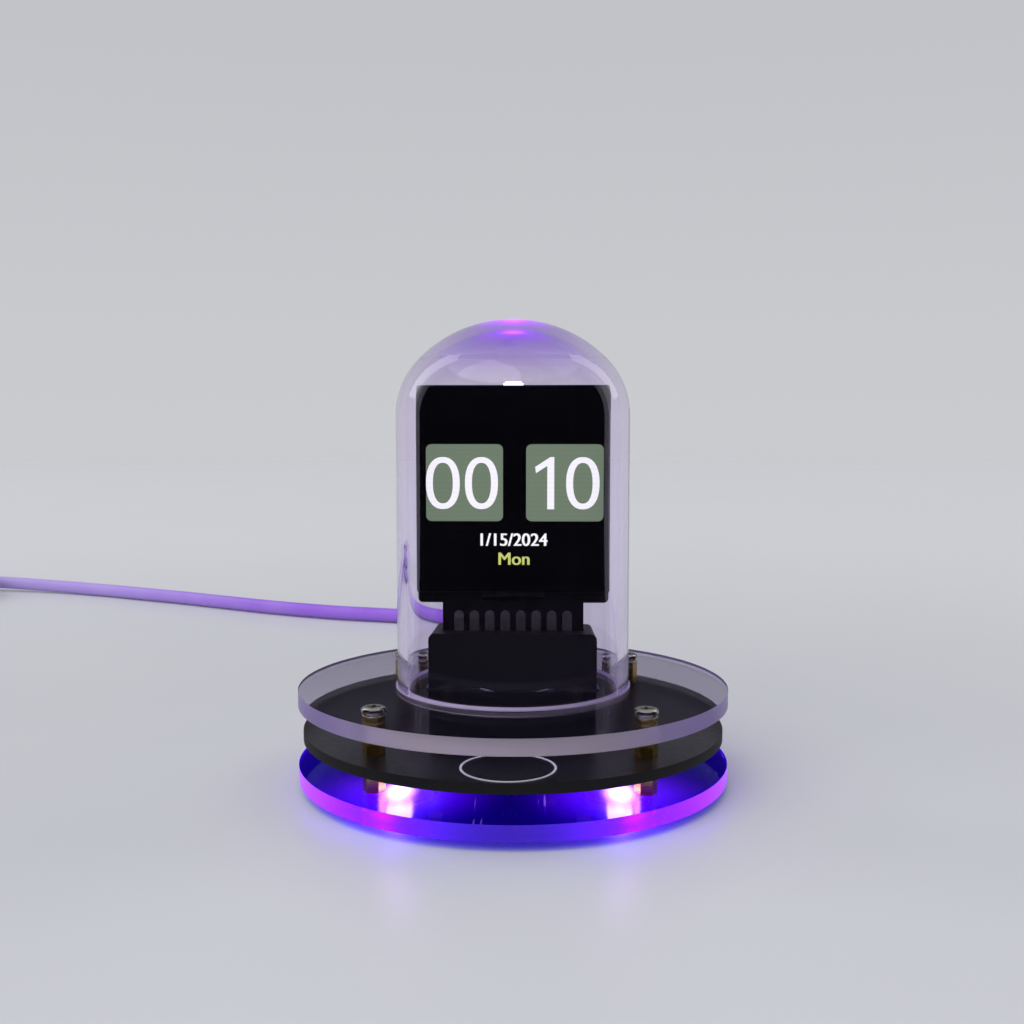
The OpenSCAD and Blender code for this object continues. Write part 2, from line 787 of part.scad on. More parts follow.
// Power socket under the board's rear rim
module usb_socket() {
  color(steel)
    translate([0, 0, usb_axis_z])
      difference() {
        along_y(usb_mouth_y - usb_l, usb_mouth_y) stadium(usb_w, usb_h);
        along_y(usb_mouth_y - usb_l + usb_floor, usb_mouth_y + past) stadium(port_w, port_h);
      }
}
module usb_tongue() {
  color(plastic_black)
    translate([0, 0, usb_axis_z])
      along_y(usb_mouth_y - usb_l + usb_floor, usb_mouth_y - tongue_short)
        square([tongue_w, tongue_t], center = true);
}

// Moulded chips on bent legs, drawn standing on z = 0
module bent_leg(body, reach, w) {
  root = 0.3;
  bend = 0.3;
  along_x(w)
    strip([
      [body[1] / 2 - root, body[2] / 2], [body[1] / 2 + bend, body[2] / 2],
      [reach / 2 - 2 * bend, leg_t / 2], [reach / 2, leg_t / 2]
    ], leg_t);
}
module leg_row(body, reach, legs) {
  for (i = [0 : legs[2] - 1])
    translate([(i - (legs[2] - 1) / 2) * legs[1], 0, 0]) bent_leg(body, reach, legs[0]);
}
module moulded_chip(body, reach, legs, rear_legs) {
  translate([-body[0] / 2, -body[1] / 2, leg_lift]) cube(body);
  leg_row(body, reach, legs);
  mirror([0, 1, 0]) leg_row(body, reach, rear_legs);
}
module serial_chip() {
  color(chip_black)
    under_board(serial_place[0], serial_place[1])
      rotate([0, 0, 90]) moulded_chip(serial_body, serial_reach, serial_legs, serial_legs);
}
module touch_chip() {
  color(chip_black)
    under_board(touch_place[0], touch_place[1])
      moulded_chip(touch_body, touch_reach, touch_legs, touch_legs);
}
module regulator() {
  color(chip_black)
    under_board(regulator_place[0], regulator_place[1])
      moulded_chip(regulator_body, regulator_reach, regulator_legs, regulator_tab);
}
module end_capped_chip(size) {
  cap = 0.35;
  inset = 0.05;
  translate([-size[0] / 2, -size[1] / 2, 0]) cube([cap, size[1], size[2]]);
  translate([size[0] / 2 - cap, -size[1] / 2, 0]) cube([cap, size[1], size[2]]);
  translate([-size[0] / 2 + inset, -size[1] / 2 + inset, inset])
    cube([size[0] - 2 * inset, size[1] - 2 * inset, size[2] - 2 * inset]);
}
module capacitors() {
  color("#b89a6c")
    for (p = capacitor_places)
      under_board(p[0], p[1]) end_capped_chip(capacitor_size);
}
module resistors() {
  color("#3a3a40")
    for (p = resistor_places)
      under_board(p[0], p[1]) end_capped_chip(resistor_size);
}

// Side-pressed reset switch at the rear rim, and its button
module at_reset() {
  rotate([0, 0, -reset_angle]) translate([0, reset_front_y, board_z]) mirror([0, 0, 1]) children();
}
module reset_switch() {
  bore = [button_size[0] + 2 * button_play, button_size[1] + 2 * button_play];
  color(steel)
    at_reset()
      difference() {
        translate([-reset_size[0] / 2, -reset_size[1], 0]) cube(reset_size);
        translate([0, 0, reset_size[2] / 2])
          along_y(-button_root - reset_travel - button_play, past)
            square(bore, center = true);
      }
}
module reset_button() {
  color(plastic_black)
    at_reset()
      translate([0, 0, reset_size[2] / 2])
        along_y(-button_root, button_reach)
          square(button_size, center = true);
}

// Dome: straight wall, rounded shoulder and flatter crown, whose arcs meet where they point the same way
module dome_half(r, shoulder, crown, foot_z) {
  drop = sqrt(pow(crown - shoulder, 2) - pow(r - shoulder, 2));
  middle = [0, head_z - drop];
  far = 2 * crown;
  translate([0, foot_z]) square([r, head_z - foot_z]);
  intersection() {
    translate([r - shoulder, head_z]) circle(shoulder);
    translate([0, head_z - shoulder]) square(2 * shoulder);
  }
  intersection() {
    translate(middle) circle(crown);
    polygon([middle, middle + far * unit([r - shoulder, drop]), middle + [0, far]]);
  }
}
module dome() {
  crown_r = dome_in_r + dome_crown;
  color(acrylic)
    rotate_extrude()
      difference() {
        dome_half(dome_out_r, dome_shoulder + dome_wall, crown_r + dome_wall, dome_foot_z);
        dome_half(dome_in_r, dome_shoulder, crown_r, dome_foot_z - past);
      }
}

// Plug of the lead: a hollow metal shell, a moulded grip and a ribbed bend relief
module plug_shell() {
  color(steel)
    translate([0, 0, usb_axis_z])
      difference() {
        along_y(plug_y - plug_l, plug_y) stadium(plug_w, plug_h);
        along_y(plug_y - plug_l - past, plug_y - plug_floor)
          square([tongue_w + 2 * tongue_play, tongue_t + 2 * tongue_play], center = true);
      }
}
// A grip that reaches back from y = 0, rounded along its edges and at its corners in plan
module moulded_grip(size) {
  intersection() {
    along_y(-size[1], 0) rounded(size[0], size[2], grip_round);
    translate([0, -size[1] / 2, -size[2]]) linear_extrude(2 * size[2]) rounded(size[0], size[1], grip_corner);
  }
}
module plug_grip() {
  color(lead_white) translate([0, boot_y, usb_axis_z]) moulded_grip([grip_w, grip_l, grip_h]);
}
// A bend relief that tapers along +Z from the grip to the lead, ringed by grooves
module bend_relief(length) {
  pitch = length / (boot_ribs + 1);
  difference() {
    cylinder(d1 = boot_d, d2 = boot_end_d, h = length);
    for (i = [1 : boot_ribs])
      translate([0, 0, i * pitch - boot_groove / 2])
        difference() {
          cylinder(d = boot_d + past, h = boot_groove);
          translate([0, 0, -past]) cylinder(d = boot_end_d - boot_groove, h = boot_groove + 2 * past);
        }
  }
}
module plug_boot() {
  color(lead_white) translate([0, boot_y, usb_axis_z]) rotate([-90, 0, 0]) bend_relief(boot_l);
}
module usb_cable() {
  color(lead_white) tube(lead_route, cable_d / 2, cable_sides);
}
module cable_coil() {
  color(lead_white) tube(coil_path, cable_d / 2, coil_sides);
}
// Flat ties that hold the coil's bundle, one on each side
module tie_loop(in_r, out_r) {
  w = out_r - in_r + cable_d + 2 * tie_play;
  h = coil_step + cable_d + 2 * tie_play;
  translate([(in_r + out_r) / 2, 0, 0])
    along_y(-tie_w / 2, tie_w / 2)
      difference() {
        rounded(w + 2 * tie_t, h + 2 * tie_t, tie_round);
        rounded(w, h, tie_round - tie_t);
      }
}
module cable_ties() {
  color("#2c2c30")
    for (a = tie_angles)
      translate([coil_x, coil_y, coil_z + coil_step / 2])
        rotate([0, 0, a]) tie_loop(min(radii_at(a)), max(radii_at(a)));
}
module cable_tail() {
  color(lead_white) tube(tail_route, cable_d / 2, cable_sides);
}

// Supply plug at the lead's far end
module at_supply(y) {
  translate([supply_x, supply_y - y, supply_z]) children();
}
module supply_boot() {
  color(lead_white) at_supply(boot_l) rotate([-90, 0, 0]) bend_relief(boot_l);
}
module supply_grip() {
  color(lead_white) at_supply(boot_l) moulded_grip(supply_grip_size);
}
module supply_shell() {
  size = supply_shell_size;
  open_w = size[0] - 2 * supply_wall;
  open_h = size[2] - 2 * supply_wall;
  color(steel)
    at_supply(boot_l + supply_grip_size[1])
      difference() {
        along_y(-size[1], 0) square([size[0], size[2]], center = true);
        along_y(-size[1] - past, -supply_floor) square([open_w, open_h], center = true);
        for (side = [-1, 1])
          translate([side * size[0] / 4 - supply_window[0] / 2, -size[1] / 2, 0])
            cube([supply_window[0], supply_window[1], size[2]]);
      }
}
module supply_tongue() {
  size = supply_tongue_size;
  color(plastic_black)
    at_supply(boot_l + supply_grip_size[1])
      translate([-size[0] / 2, -supply_floor - size[1], supply_wall - supply_shell_size[2] / 2]) cube(size);
}

base_plate();
lower_screws();
lower_standoffs();
control_board();
touch_ring();
upper_standoffs();
top_plate();
upper_screws();
card_socket();
socket_contacts();
display_card();
card_pads();
lcd_frame();
lcd_glass();
lcd_flex();
flex_connector();
card_chips();
crown_led();
base_leds();
radio_module();
radio_shield();
usb_socket();
usb_tongue();
regulator();
serial_chip();
touch_chip();
capacitors();
resistors();
reset_switch();
reset_button();
dome();
plug_shell();
plug_grip();
plug_boot();
usb_cable();
cable_coil();
cable_ties();
cable_tail();
supply_boot();
supply_grip();
supply_shell();
supply_tongue();
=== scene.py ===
import math

import bmesh
import bpy
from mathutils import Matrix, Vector


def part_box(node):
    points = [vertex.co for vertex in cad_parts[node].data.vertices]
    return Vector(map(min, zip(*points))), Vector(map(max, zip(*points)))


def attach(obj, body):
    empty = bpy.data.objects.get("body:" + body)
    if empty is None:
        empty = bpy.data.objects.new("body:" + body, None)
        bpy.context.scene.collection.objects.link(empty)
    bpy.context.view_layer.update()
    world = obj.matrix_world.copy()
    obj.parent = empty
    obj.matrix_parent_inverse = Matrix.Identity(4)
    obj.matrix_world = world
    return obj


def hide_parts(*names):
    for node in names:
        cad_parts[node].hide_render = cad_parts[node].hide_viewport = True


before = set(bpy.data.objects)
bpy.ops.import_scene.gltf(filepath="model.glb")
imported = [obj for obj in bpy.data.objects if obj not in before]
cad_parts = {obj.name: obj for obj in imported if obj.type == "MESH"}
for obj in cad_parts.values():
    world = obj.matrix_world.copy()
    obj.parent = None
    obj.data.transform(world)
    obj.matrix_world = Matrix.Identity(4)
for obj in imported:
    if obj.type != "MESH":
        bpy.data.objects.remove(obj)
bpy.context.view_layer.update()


# The view, as in the photograph: the lens stands 0.2 m before the clock, level with the top of its display
# and a little to the right, and looks slightly down. The picture is square and the lens has no shift.
scene = bpy.context.scene
scene.view_settings.view_transform = "Standard"
lens = bpy.data.cameras.new("lens")
lens.sensor_width = 36
lens.lens = 42.36
lens.clip_start = 0.01
camera = bpy.data.objects.new("camera", lens)
camera.location = (0.00513, -0.19603, 0.0604)
camera.rotation_euler = (math.radians(85.25), 0, math.radians(1.5475))
scene.collection.objects.link(camera)
scene.camera = camera


# The studio: a pale satin table top that fades into an evenly pale room, under one broad lamp above and to
# the left. Two tall soft boxes behind the clock edge its dome with light, and dark cloth, which only gloss
# can see, keeps the dome, the display and the plates from mirroring the room.
def linear(code):
    """The linear colour, with full alpha, of an sRGB hex code."""
    parts = [int(code[i:i + 2], 16) / 255 for i in (0, 2, 4)]
    return [c / 12.92 if c <= 0.04045 else ((c + 0.055) / 1.055) ** 2.4 for c in parts] + [1]


def add_node(tree, kind, settings={}, links={}):
    """Adds a shader node with its settings and its sockets' values. Each link comes from an output, or from a
    node's first output that is in use."""
    node = tree.nodes.new("ShaderNode" + kind)
    for name, value in settings.items():
        if isinstance(name, str) and hasattr(node, name):
            setattr(node, name, value)
        else:
            node.inputs[name].default_value = value
    for name, source in links.items():
        if isinstance(source, bpy.types.Node):
            source = next(output for output in source.outputs if output.enabled)
        tree.links.new(source, node.inputs[name])
    return node


def blank_material(name):
    """A new material, its empty node tree, and each point's place in the shared frame."""
    material = bpy.data.materials.new(name)
    material.use_nodes = True
    material.node_tree.nodes.clear()
    place = add_node(material.node_tree, "TexCoord").outputs["Object"]
    return material, material.node_tree, place


def new_piece(name, data):
    """A new object of that mesh, curve or lamp, linked to the scene."""
    piece = bpy.data.objects.new(name, data)
    scene.collection.objects.link(piece)
    return piece


room = bpy.data.worlds.new("room")
scene.world = room
room.use_nodes = True
tree = room.node_tree
tree.nodes.clear()
direction = add_node(tree, "TexCoord")
height = add_node(tree, "SeparateXYZ", links={0: direction.outputs["Generated"]})
rise = add_node(tree, "MapRange", {"From Min": 0.0, "From Max": 0.8}, {"Value": height.outputs["Z"]})
tone = add_node(tree, "Mix", {"data_type": "RGBA", 6: linear("cacbcf"), 7: linear("b2b4ba")}, {0: rise})
light = add_node(tree, "Background", links={"Color": tone})
add_node(tree, "OutputWorld", links={"Surface": light})

sun = bpy.data.lights.new("broad_lamp", "SUN")
sun.energy = 1.45
sun.angle = math.radians(60)
lamp = new_piece("broad_lamp", sun)
lamp.visible_glossy = False
lamp.rotation_euler = Vector((-0.5, -0.62, 1.0)).to_track_quat("Z", "Y").to_euler()
clock_middle = Vector((0, 0, 0.04))
for name, at, power in (("left_box", Vector((-1.1, 0.6, 0.9)), 2.0),
                        ("right_box", Vector((1.1, 0.75, 0.9)), 1.6)):
    box_light = bpy.data.lights.new(name, "AREA")
    box_light.shape = "RECTANGLE"
    box_light.size, box_light.size_y = 0.36, 1.2
    box_light.energy = power
    lamp = new_piece(name, box_light)
    lamp.location = at
    lamp.rotation_euler = (at - clock_middle).to_track_quat("Z", "Y").to_euler()
    lamp.visible_camera = lamp.visible_transmission = False

# Black cloth on the table before the clock, hung in a half circle from one side of it round behind the lens
# to the other, and spread level with the lens over the table behind it, where only the plates can mirror it.
# Only a ray that a glossy surface has sent there meets it, and only from its front. Where it hangs, it also
# stays out of the gloss of the table near its foot, by the length of the ray. A row is a (radius, height).
mesh = bpy.data.meshes.new("dark_curtain")
curtain_r, curtain_top, table_z, lens_z, panels = 0.5, 0.6, 0.001, 0.06, 24
hung_rows = ((0.06, table_z), (curtain_r, table_z), (curtain_r, curtain_top))
level_rows = ((0.36, lens_z), (0.12, lens_z))
points, faces = [], []
for first, last, rows in ((-195, 15, hung_rows), (15, 165, level_rows)):
    for row, (r, z) in enumerate(rows):
        start, below = len(points), len(points) - panels - 1
        turns = [math.radians(first + (last - first) * k / panels) for k in range(panels + 1)]
        points += [(r * math.cos(turn), r * math.sin(turn), z) for turn in turns]
        if row:
            faces += [(below + k + 1, below + k, start + k, start + k + 1) for k in range(panels)]
mesh.from_pydata(points, [], faces)
curtain = new_piece("dark_curtain", mesh)
curtain.visible_camera = curtain.visible_diffuse = curtain.visible_shadow = False
cloth, tree = blank_material("black_cloth")[:2]
shader = add_node(tree, "BsdfDiffuse", {"Color": linear("1a1a1c")})
nothing = add_node(tree, "BsdfTransparent")
rays = add_node(tree, "LightPath")
cloth_side = add_node(tree, "NewGeometry")
way = add_node(tree, "SeparateXYZ", links={0: cloth_side.outputs["True Normal"]})
level = add_node(tree, "Math", {"operation": "ABSOLUTE"}, {0: way.outputs["Z"]})
far = add_node(tree, "MapRange", {"From Min": 0.3, "From Max": 0.46}, {"Value": rays.outputs["Ray Length"]})
shown = add_node(tree, "Math", {"operation": "MAXIMUM"}, {0: far, 1: level})
glossy = add_node(tree, "Math", {"operation": "MULTIPLY"}, {0: shown, 1: rays.outputs["Glossy Depth"]})
front_only = add_node(tree, "Math", {"operation": "MULTIPLY_ADD", 1: -10.0},
                      {0: cloth_side.outputs["Backfacing"], 2: glossy})
blend = add_node(tree, "MixShader", links={0: front_only, 1: nothing, 2: shader})
add_node(tree, "OutputMaterial", links={"Surface": blend})
mesh.materials.append(cloth)

mesh = bpy.data.meshes.new("table_top")
half = 3.0
mesh.from_pydata([(-half, -half, 0), (half, -half, 0), (half, half, 0), (-half, half, 0)], [], [(0, 1, 2, 3)])
table_top = new_piece("table_top", mesh)
table_top.location.z = -0.00002

# Satin lacquer: an even pale grey with a soft, blurred reflection of what stands on it. It lies a hair below
# the clock's feet, and fades away far from the clock.
lacquer, tree, place = blank_material("satin_lacquer")
mottle = add_node(tree, "TexNoise", {"Scale": 1 / 0.05, "Detail": 2.0}, {"Vector": place})
tone = add_node(tree, "Mix", {"data_type": "RGBA", 6: linear("d4d5d8"), 7: linear("d8d9dc")}, {0: mottle})
gloss = add_node(tree, "MapRange", {"To Min": 0.34, "To Max": 0.4}, {"Value": mottle})
shader = add_node(tree, "BsdfPrincipled", {"Specular IOR Level": 0.25},
                  {"Base Color": tone, "Roughness": gloss})
away = add_node(tree, "VectorMath", {"operation": "LENGTH"}, {0: place})
fade = add_node(tree, "MapRange", {"interpolation_type": "SMOOTHSTEP", "From Min": 0.3, "From Max": 1.8},
                {"Value": away})
nothing = add_node(tree, "BsdfTransparent")
blend = add_node(tree, "MixShader", links={0: fade, 1: shader, 2: nothing})
add_node(tree, "OutputMaterial", links={"Surface": blend})
mesh.materials.append(lacquer)


# The power lead: a white PVC cord of 4 mm, about a metre long. It leaves the plug's bend relief straight,
# comes down to the table, runs away to the left, and its spare length lies in a neat coil of two layers by
# its supply plug.
def eased(points, steps):
    """Points along a smooth line (a Catmull-Rom spline) through the given ones."""
    ends = [points[0]] + points + [points[-1]]
    line = []
    for a, b, c, d in zip(ends, ends[1:], ends[2:], ends[3:]):
        for t in (k / steps for k in range(steps)):
            line.append((2 * b + (c - a) * t + (2 * a - 5 * b + 4 * c - d) * t ** 2
                         + (3 * b - a - 3 * c + d) * t ** 3) / 2)
    return line + [points[-1]]


lead_d = 0.004
lead_exit = (0, 0.0613, 0.0063)
lead_route = [lead_exit, (0, 0.0653, 0.0063), (0, 0.072, 0.0059), (0, 0.079, 0.0049), (0, 0.086, 0.0037),
              (0, 0.093, 0.0027), (0, 0.1, 0.0022), (-0.0005, 0.107, 0.0021), (-0.002, 0.114, 0.0021),
              (-0.0045, 0.121, 0.0021), (-0.0085, 0.1275, 0.0021), (-0.014, 0.133, 0.0021),
              (-0.0205, 0.138, 0.0021), (-0.028, 0.142, 0.0021), (-0.036, 0.145, 0.0021),
              (-0.045, 0.1475, 0.0021), (-0.054, 0.15, 0.0021), (-0.063, 0.1535, 0.0021),
              (-0.072, 0.1575, 0.0021), (-0.081, 0.162, 0.0021), (-0.09, 0.167, 0.0021),
              (-0.099, 0.172, 0.0021), (-0.108, 0.177, 0.0021), (-0.117, 0.1815, 0.0021),
              (-0.126, 0.186, 0.0021), (-0.135, 0.1905, 0.0021), (-0.144, 0.1945, 0.0021),
              (-0.153, 0.198, 0.0022), (-0.162, 0.2005, 0.0024), (-0.171, 0.2025, 0.0027),
              (-0.18, 0.204, 0.0029), (-0.189, 0.204, 0.0029), (-0.198, 0.204, 0.0029)]
coil_centre = (-0.202, 0.1765)
coil_r, coil_step, coil_z = 0.0275, 0.0045, 0.0029
coil_turns, inner_turn, climb_turns, turn_points = 6.25, 3.25, 0.5, 24
for k in range(int(coil_turns * turn_points) + 1):
    t = k / turn_points
    r = coil_r - coil_step * min(t, 2 * inner_turn - t)
    angle = math.radians(90 + 360 * t)
    climb = min(max((t - inner_turn) / climb_turns + 0.5, 0), 1)
    lead_route.append((coil_centre[0] + r * math.cos(angle), coil_centre[1] + r * math.sin(angle),
                       coil_z + coil_step * climb))
tail_x = -0.228375
lead_route += [(tail_x, 0.1725, 0.0074), (tail_x, 0.1685, 0.0074), (tail_x, 0.164, 0.0068),
               (tail_x, 0.158, 0.0056), (tail_x, 0.152, 0.0046), (tail_x, 0.148, 0.0041),
               (tail_x, 0.144, 0.0041)]
line = bpy.data.curves.new("power_lead_cord", "CURVE")
line.dimensions = "3D"
line.bevel_depth = 1
line.bevel_resolution = 6
line.use_fill_caps = True
spline = line.splines.new("POLY")
lead_line = eased([Vector(p) for p in lead_route], steps=4)
spline.points.add(len(lead_line) - 1)
for point, p in zip(spline.points, lead_line):
    point.co = (*p, 1)
    point.radius = lead_d / 2
lead = new_piece("power_lead_cord", line)
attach(lead, "power_lead")
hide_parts("usb_cable", "cable_coil", "cable_tail")

# Extruded PVC: satin white, with the lights' violet spill painted into its colour, deep by the clock and a
# pale lilac further off, with faint handling marks and a skin that is not quite smooth.
pvc, tree, place = blank_material("white_pvc")
marks = add_node(tree, "TexNoise", {"Scale": 1 / 0.014, "Detail": 4.0}, {"Vector": place})
skin = add_node(tree, "TexNoise", {"Scale": 1 / 0.0007, "Detail": 2.0}, {"Vector": place})
away = add_node(tree, "VectorMath", {"operation": "LENGTH"}, {0: place})
# Painted light: the lights' violet spill, strongest near the clock and fading with the distance from it.
spill = add_node(tree, "MapRange", {"interpolation_type": "SMOOTHSTEP", "From Min": 0.12, "From Max": 0.29},
                 {"Value": away})
lilac = add_node(tree, "Mix", {"data_type": "RGBA", 6: linear("8f3ee2"), 7: linear("b29ce2")}, {0: spill})
wear = add_node(tree, "MapRange", {"To Max": 0.3}, {"Value": marks})
tone = add_node(tree, "Mix", {"data_type": "RGBA", 7: linear("d8c8f8")}, {0: wear, 6: lilac})
gloss = add_node(tree, "MapRange", {"To Min": 0.34, "To Max": 0.5}, {"Value": marks})
relief = add_node(tree, "Bump", {"Strength": 0.25, "Distance": 0.00004}, {"Height": skin})
shader = add_node(tree, "BsdfPrincipled",
                  {"IOR": 1.53, "Subsurface Weight": 0.08, "Subsurface Scale": 0.0008},
                  {"Base Color": tone, "Roughness": gloss, "Normal": relief})
add_node(tree, "OutputMaterial", links={"Surface": shader})
line.materials.append(pvc)


# The lead's ends: a small plug in the clock's rear socket and a flat supply plug, each a drawn steel shell in
# a moulded white grip, with a ribbed bend relief that is moulded on to the cord.
def dress(names, *materials):
    """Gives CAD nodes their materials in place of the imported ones."""
    for name in names:
        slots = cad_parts[name].data.materials
        slots.clear()
        for material in materials:
            slots.append(material)


def paint(name, index, chosen):
    """Gives another of a CAD node's materials to the faces that are chosen by centre and normal."""
    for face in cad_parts[name].data.polygons:
        if chosen(face.center, face.normal):
            face.material_index = index


def grained(name, low, high, grain, settings, gloss=None, relief=None, edge=None, detail=2.0):
    """A finish with one grain, of that size in metres or of sizes along X, Y and Z. It runs between two
    colours, and may vary the roughness between two values and raise the skin by (strength, depth). Edge is
    the radius that softens the piece's edges."""
    material, tree, place = blank_material(name)
    if isinstance(grain, tuple):
        place = add_node(tree, "Mapping", {"Scale": [1 / size for size in grain]}, {"Vector": place})
        grain = 1.0
    noise = add_node(tree, "TexNoise", {"Scale": 1 / grain, "Detail": detail}, {"Vector": place})
    tone = add_node(tree, "Mix", {"data_type": "RGBA", 6: linear(low), 7: linear(high)}, {0: noise})
    links = {"Base Color": tone}
    if gloss:
        links["Roughness"] = add_node(tree, "MapRange", {"To Min": gloss[0], "To Max": gloss[1]},
                                      {"Value": noise})
    skin = {"Height": noise}
    if edge:
        links["Normal"] = skin["Normal"] = add_node(tree, "Bevel", {"Radius": edge})
    if relief:
        links["Normal"] = add_node(tree, "Bump", {"Strength": relief[0], "Distance": relief[1]}, skin)
    shader = add_node(tree, "BsdfPrincipled", settings, links)
    add_node(tree, "OutputMaterial", links={"Surface": shader})
    return material


# Moulded thermoplastic elastomer: soft white, finely spark-textured so that highlights spread.
grip_white, tree, place = blank_material("moulded_white_elastomer")
marks = add_node(tree, "TexNoise", {"Scale": 1 / 0.006, "Detail": 3.0}, {"Vector": place})
grit = add_node(tree, "TexNoise", {"Scale": 1 / 0.0003, "Detail": 1.0}, {"Vector": place})
tone = add_node(tree, "Mix", {"data_type": "RGBA", 6: linear("e2dfe8"), 7: linear("eeecf2")}, {0: marks})
edge = add_node(tree, "Bevel", {"Radius": 0.0003})
relief = add_node(tree, "Bump", {"Strength": 0.35, "Distance": 0.00005}, {"Height": grit, "Normal": edge})
shader = add_node(tree, "BsdfPrincipled", {"Roughness": 0.5, "IOR": 1.5},
                  {"Base Color": tone, "Normal": relief})
add_node(tree, "OutputMaterial", links={"Surface": shader})

# Nickel-plated steel, drawn: bright, with fine lines along the draw that stretch the highlights.
drawn_steel = grained("nickel_plated_steel_drawn", "a9a9ac", "c9c9cb", (0.0002, 0.008, 0.0002),
                      {"Metallic": 1.0}, gloss=(0.2, 0.38), edge=0.0001)

# Glass-filled polyester, moulded: near black and satin, with a fine grain and softly broken edges.
black_polyester, tree, place = blank_material("moulded_black_polyester")
flow = add_node(tree, "TexNoise", {"Scale": 1 / 0.004, "Detail": 3.0}, {"Vector": place})
grain = add_node(tree, "TexNoise", {"Scale": 1 / 0.00025, "Detail": 2.0}, {"Vector": place})
tone = add_node(tree, "Mix", {"data_type": "RGBA", 6: linear("0d0d0f"), 7: linear("161619")}, {0: flow})
gloss = add_node(tree, "MapRange", {"To Min": 0.36, "To Max": 0.52}, {"Value": grain})
edge = add_node(tree, "Bevel", {"Radius": 0.00018})
relief = add_node(tree, "Bump", {"Strength": 0.3, "Distance": 0.00004}, {"Height": grain, "Normal": edge})
shader = add_node(tree, "BsdfPrincipled", {"IOR": 1.55, "Specular IOR Level": 0.35},
                  {"Base Color": tone, "Roughness": gloss, "Normal": relief})
add_node(tree, "OutputMaterial", links={"Surface": shader})

dress(("plug_grip", "supply_grip"), grip_white)
dress(("plug_boot", "supply_boot"), pvc)
dress(("plug_shell", "supply_shell"), drawn_steel)
dress(("supply_tongue",), black_polyester)


# The coil's ties: two black bands of hook-and-loop cloth, each wrapped round the bundle and closed on itself.
# Loop pile: dull black with tiny fuzzy loops, drawn at twice their size so that they show, and a soft sheen.
loop_pile, tree, place = blank_material("hook_and_loop_cloth")
loops = add_node(tree, "TexVoronoi", {"Scale": 1 / 0.0009}, {"Vector": place})
tone = add_node(tree, "Mix", {"data_type": "RGBA", 6: linear("2a2a2e"), 7: linear("0c0c0e")}, {0: loops})
relief = add_node(tree, "Bump", {"Strength": 0.9, "Distance": 0.0002, "invert": True}, {"Height": loops})
shader = add_node(tree, "BsdfPrincipled", {"Roughness": 0.9, "Sheen Weight": 0.5, "Sheen Roughness": 0.4},
                  {"Base Color": tone, "Normal": relief})
add_node(tree, "OutputMaterial", links={"Surface": shader})
dress(("cable_ties",), loop_pile)


# The lower plate: a disc of clear acrylic, laser cut, on four screw heads that serve as feet. The lights
# above it shine down into it, so that its faces glow blue-violet and its cut rim, where the light leaves, is
# brightest.
light_x, light_y = 0.01647, 0.02025


def glow_near_lights(tree, place, reach, length=1):
    """A value that is 1 at the four lights under the board and falls to 0 at that distance in plan, or at
    that many times the distance to the front and back."""
    folded = add_node(tree, "VectorMath", {"operation": "ABSOLUTE"}, {0: place})
    offset = add_node(tree, "VectorMath", {"operation": "SUBTRACT", 1: (light_x, light_y, 0)}, {0: folded})
    plan = add_node(tree, "VectorMath", {"operation": "MULTIPLY", 1: (1, 1 / length, 0)}, {0: offset})
    away = add_node(tree, "VectorMath", {"operation": "LENGTH"}, {0: plan})
    return add_node(tree, "MapRange",
                    {"interpolation_type": "SMOOTHSTEP", "From Max": reach, "To Min": 1.0, "To Max": 0.0},
                    {"Value": away})


def let_light_through(tree, shader, code):
    """Ends a clear material: lamps shine through it with that tint, and all else sees the shader."""
    clear = add_node(tree, "BsdfTransparent", {"Color": linear(code)})
    rays = add_node(tree, "LightPath")
    blend = add_node(tree, "MixShader", links={0: rays.outputs["Is Shadow Ray"], 1: shader, 2: clear})
    return add_node(tree, "OutputMaterial", links={"Surface": blend})


plate_r, cut_line = 0.035, 0.0007


def laser_cut(tree, place, start, stop):
    """What a laser-cut rim shows: a value that rises from 0 to 1 towards its sides, between two distances
    from the middle, and the skin with the upright lines of the cut, drawn coarse to show."""
    parts = add_node(tree, "SeparateXYZ", links={0: place})
    across = add_node(tree, "Math", {"operation": "ABSOLUTE"}, {0: parts.outputs["X"]})
    side = add_node(tree, "MapRange",
                    {"interpolation_type": "SMOOTHSTEP", "From Min": start, "From Max": stop},
                    {"Value": across})
    round_angle = add_node(tree, "Math", {"operation": "ARCTAN2"},
                           {0: parts.outputs["Y"], 1: parts.outputs["X"]})
    round_way = add_node(tree, "CombineXYZ", links={"X": round_angle})
    cut = add_node(tree, "TexNoise", {"Scale": plate_r / cut_line, "Detail": 2.0}, {"Vector": round_way})
    return side, add_node(tree, "Bump", {"Strength": 0.3, "Distance": 0.00004}, {"Height": cut})


# Lit acrylic, polished face: deep blue-violet from the light inside it, white where each light strikes it,
# with a slight haze that draws out what it mirrors, and hair scratches that carry a painted glint of the
# light.
lit_face, tree, place = blank_material("lit_acrylic_face")
near = glow_near_lights(tree, place, 0.018)
core = glow_near_lights(tree, place, 0.0036, 2.2)
hair = add_node(tree, "Mapping", {"Rotation": (0, 0, 0.6), "Scale": (1 / 0.0006, 1 / 0.012, 1.0)},
                {"Vector": place})
scratch = add_node(tree, "TexNoise", {"Scale": 1.0, "Detail": 1.0}, {"Vector": hair})
# Painted glint: the scratches' lines are drawn as brighter violet light in the glow.
painted_scratch_glint = add_node(tree, "MapRange", {"From Min": 0.7, "From Max": 0.76}, {"Value": scratch})
relief = add_node(tree, "Bump", {"Strength": 0.06, "Distance": 0.00002}, {"Height": scratch})
glow = add_node(tree, "Mix", {"data_type": "RGBA", 6: linear("160078"), 7: linear("6a02fa")}, {0: near})
struck = add_node(tree, "Mix", {"data_type": "RGBA", 7: linear("e6b4ff")}, {0: core, 6: glow})
tone = add_node(tree, "Mix", {"data_type": "RGBA", 7: linear("b070ff")}, {0: painted_scratch_glint, 6: struck})
broad = add_node(tree, "MapRange", {"To Min": 0.25, "To Max": 0.8}, {"Value": near})
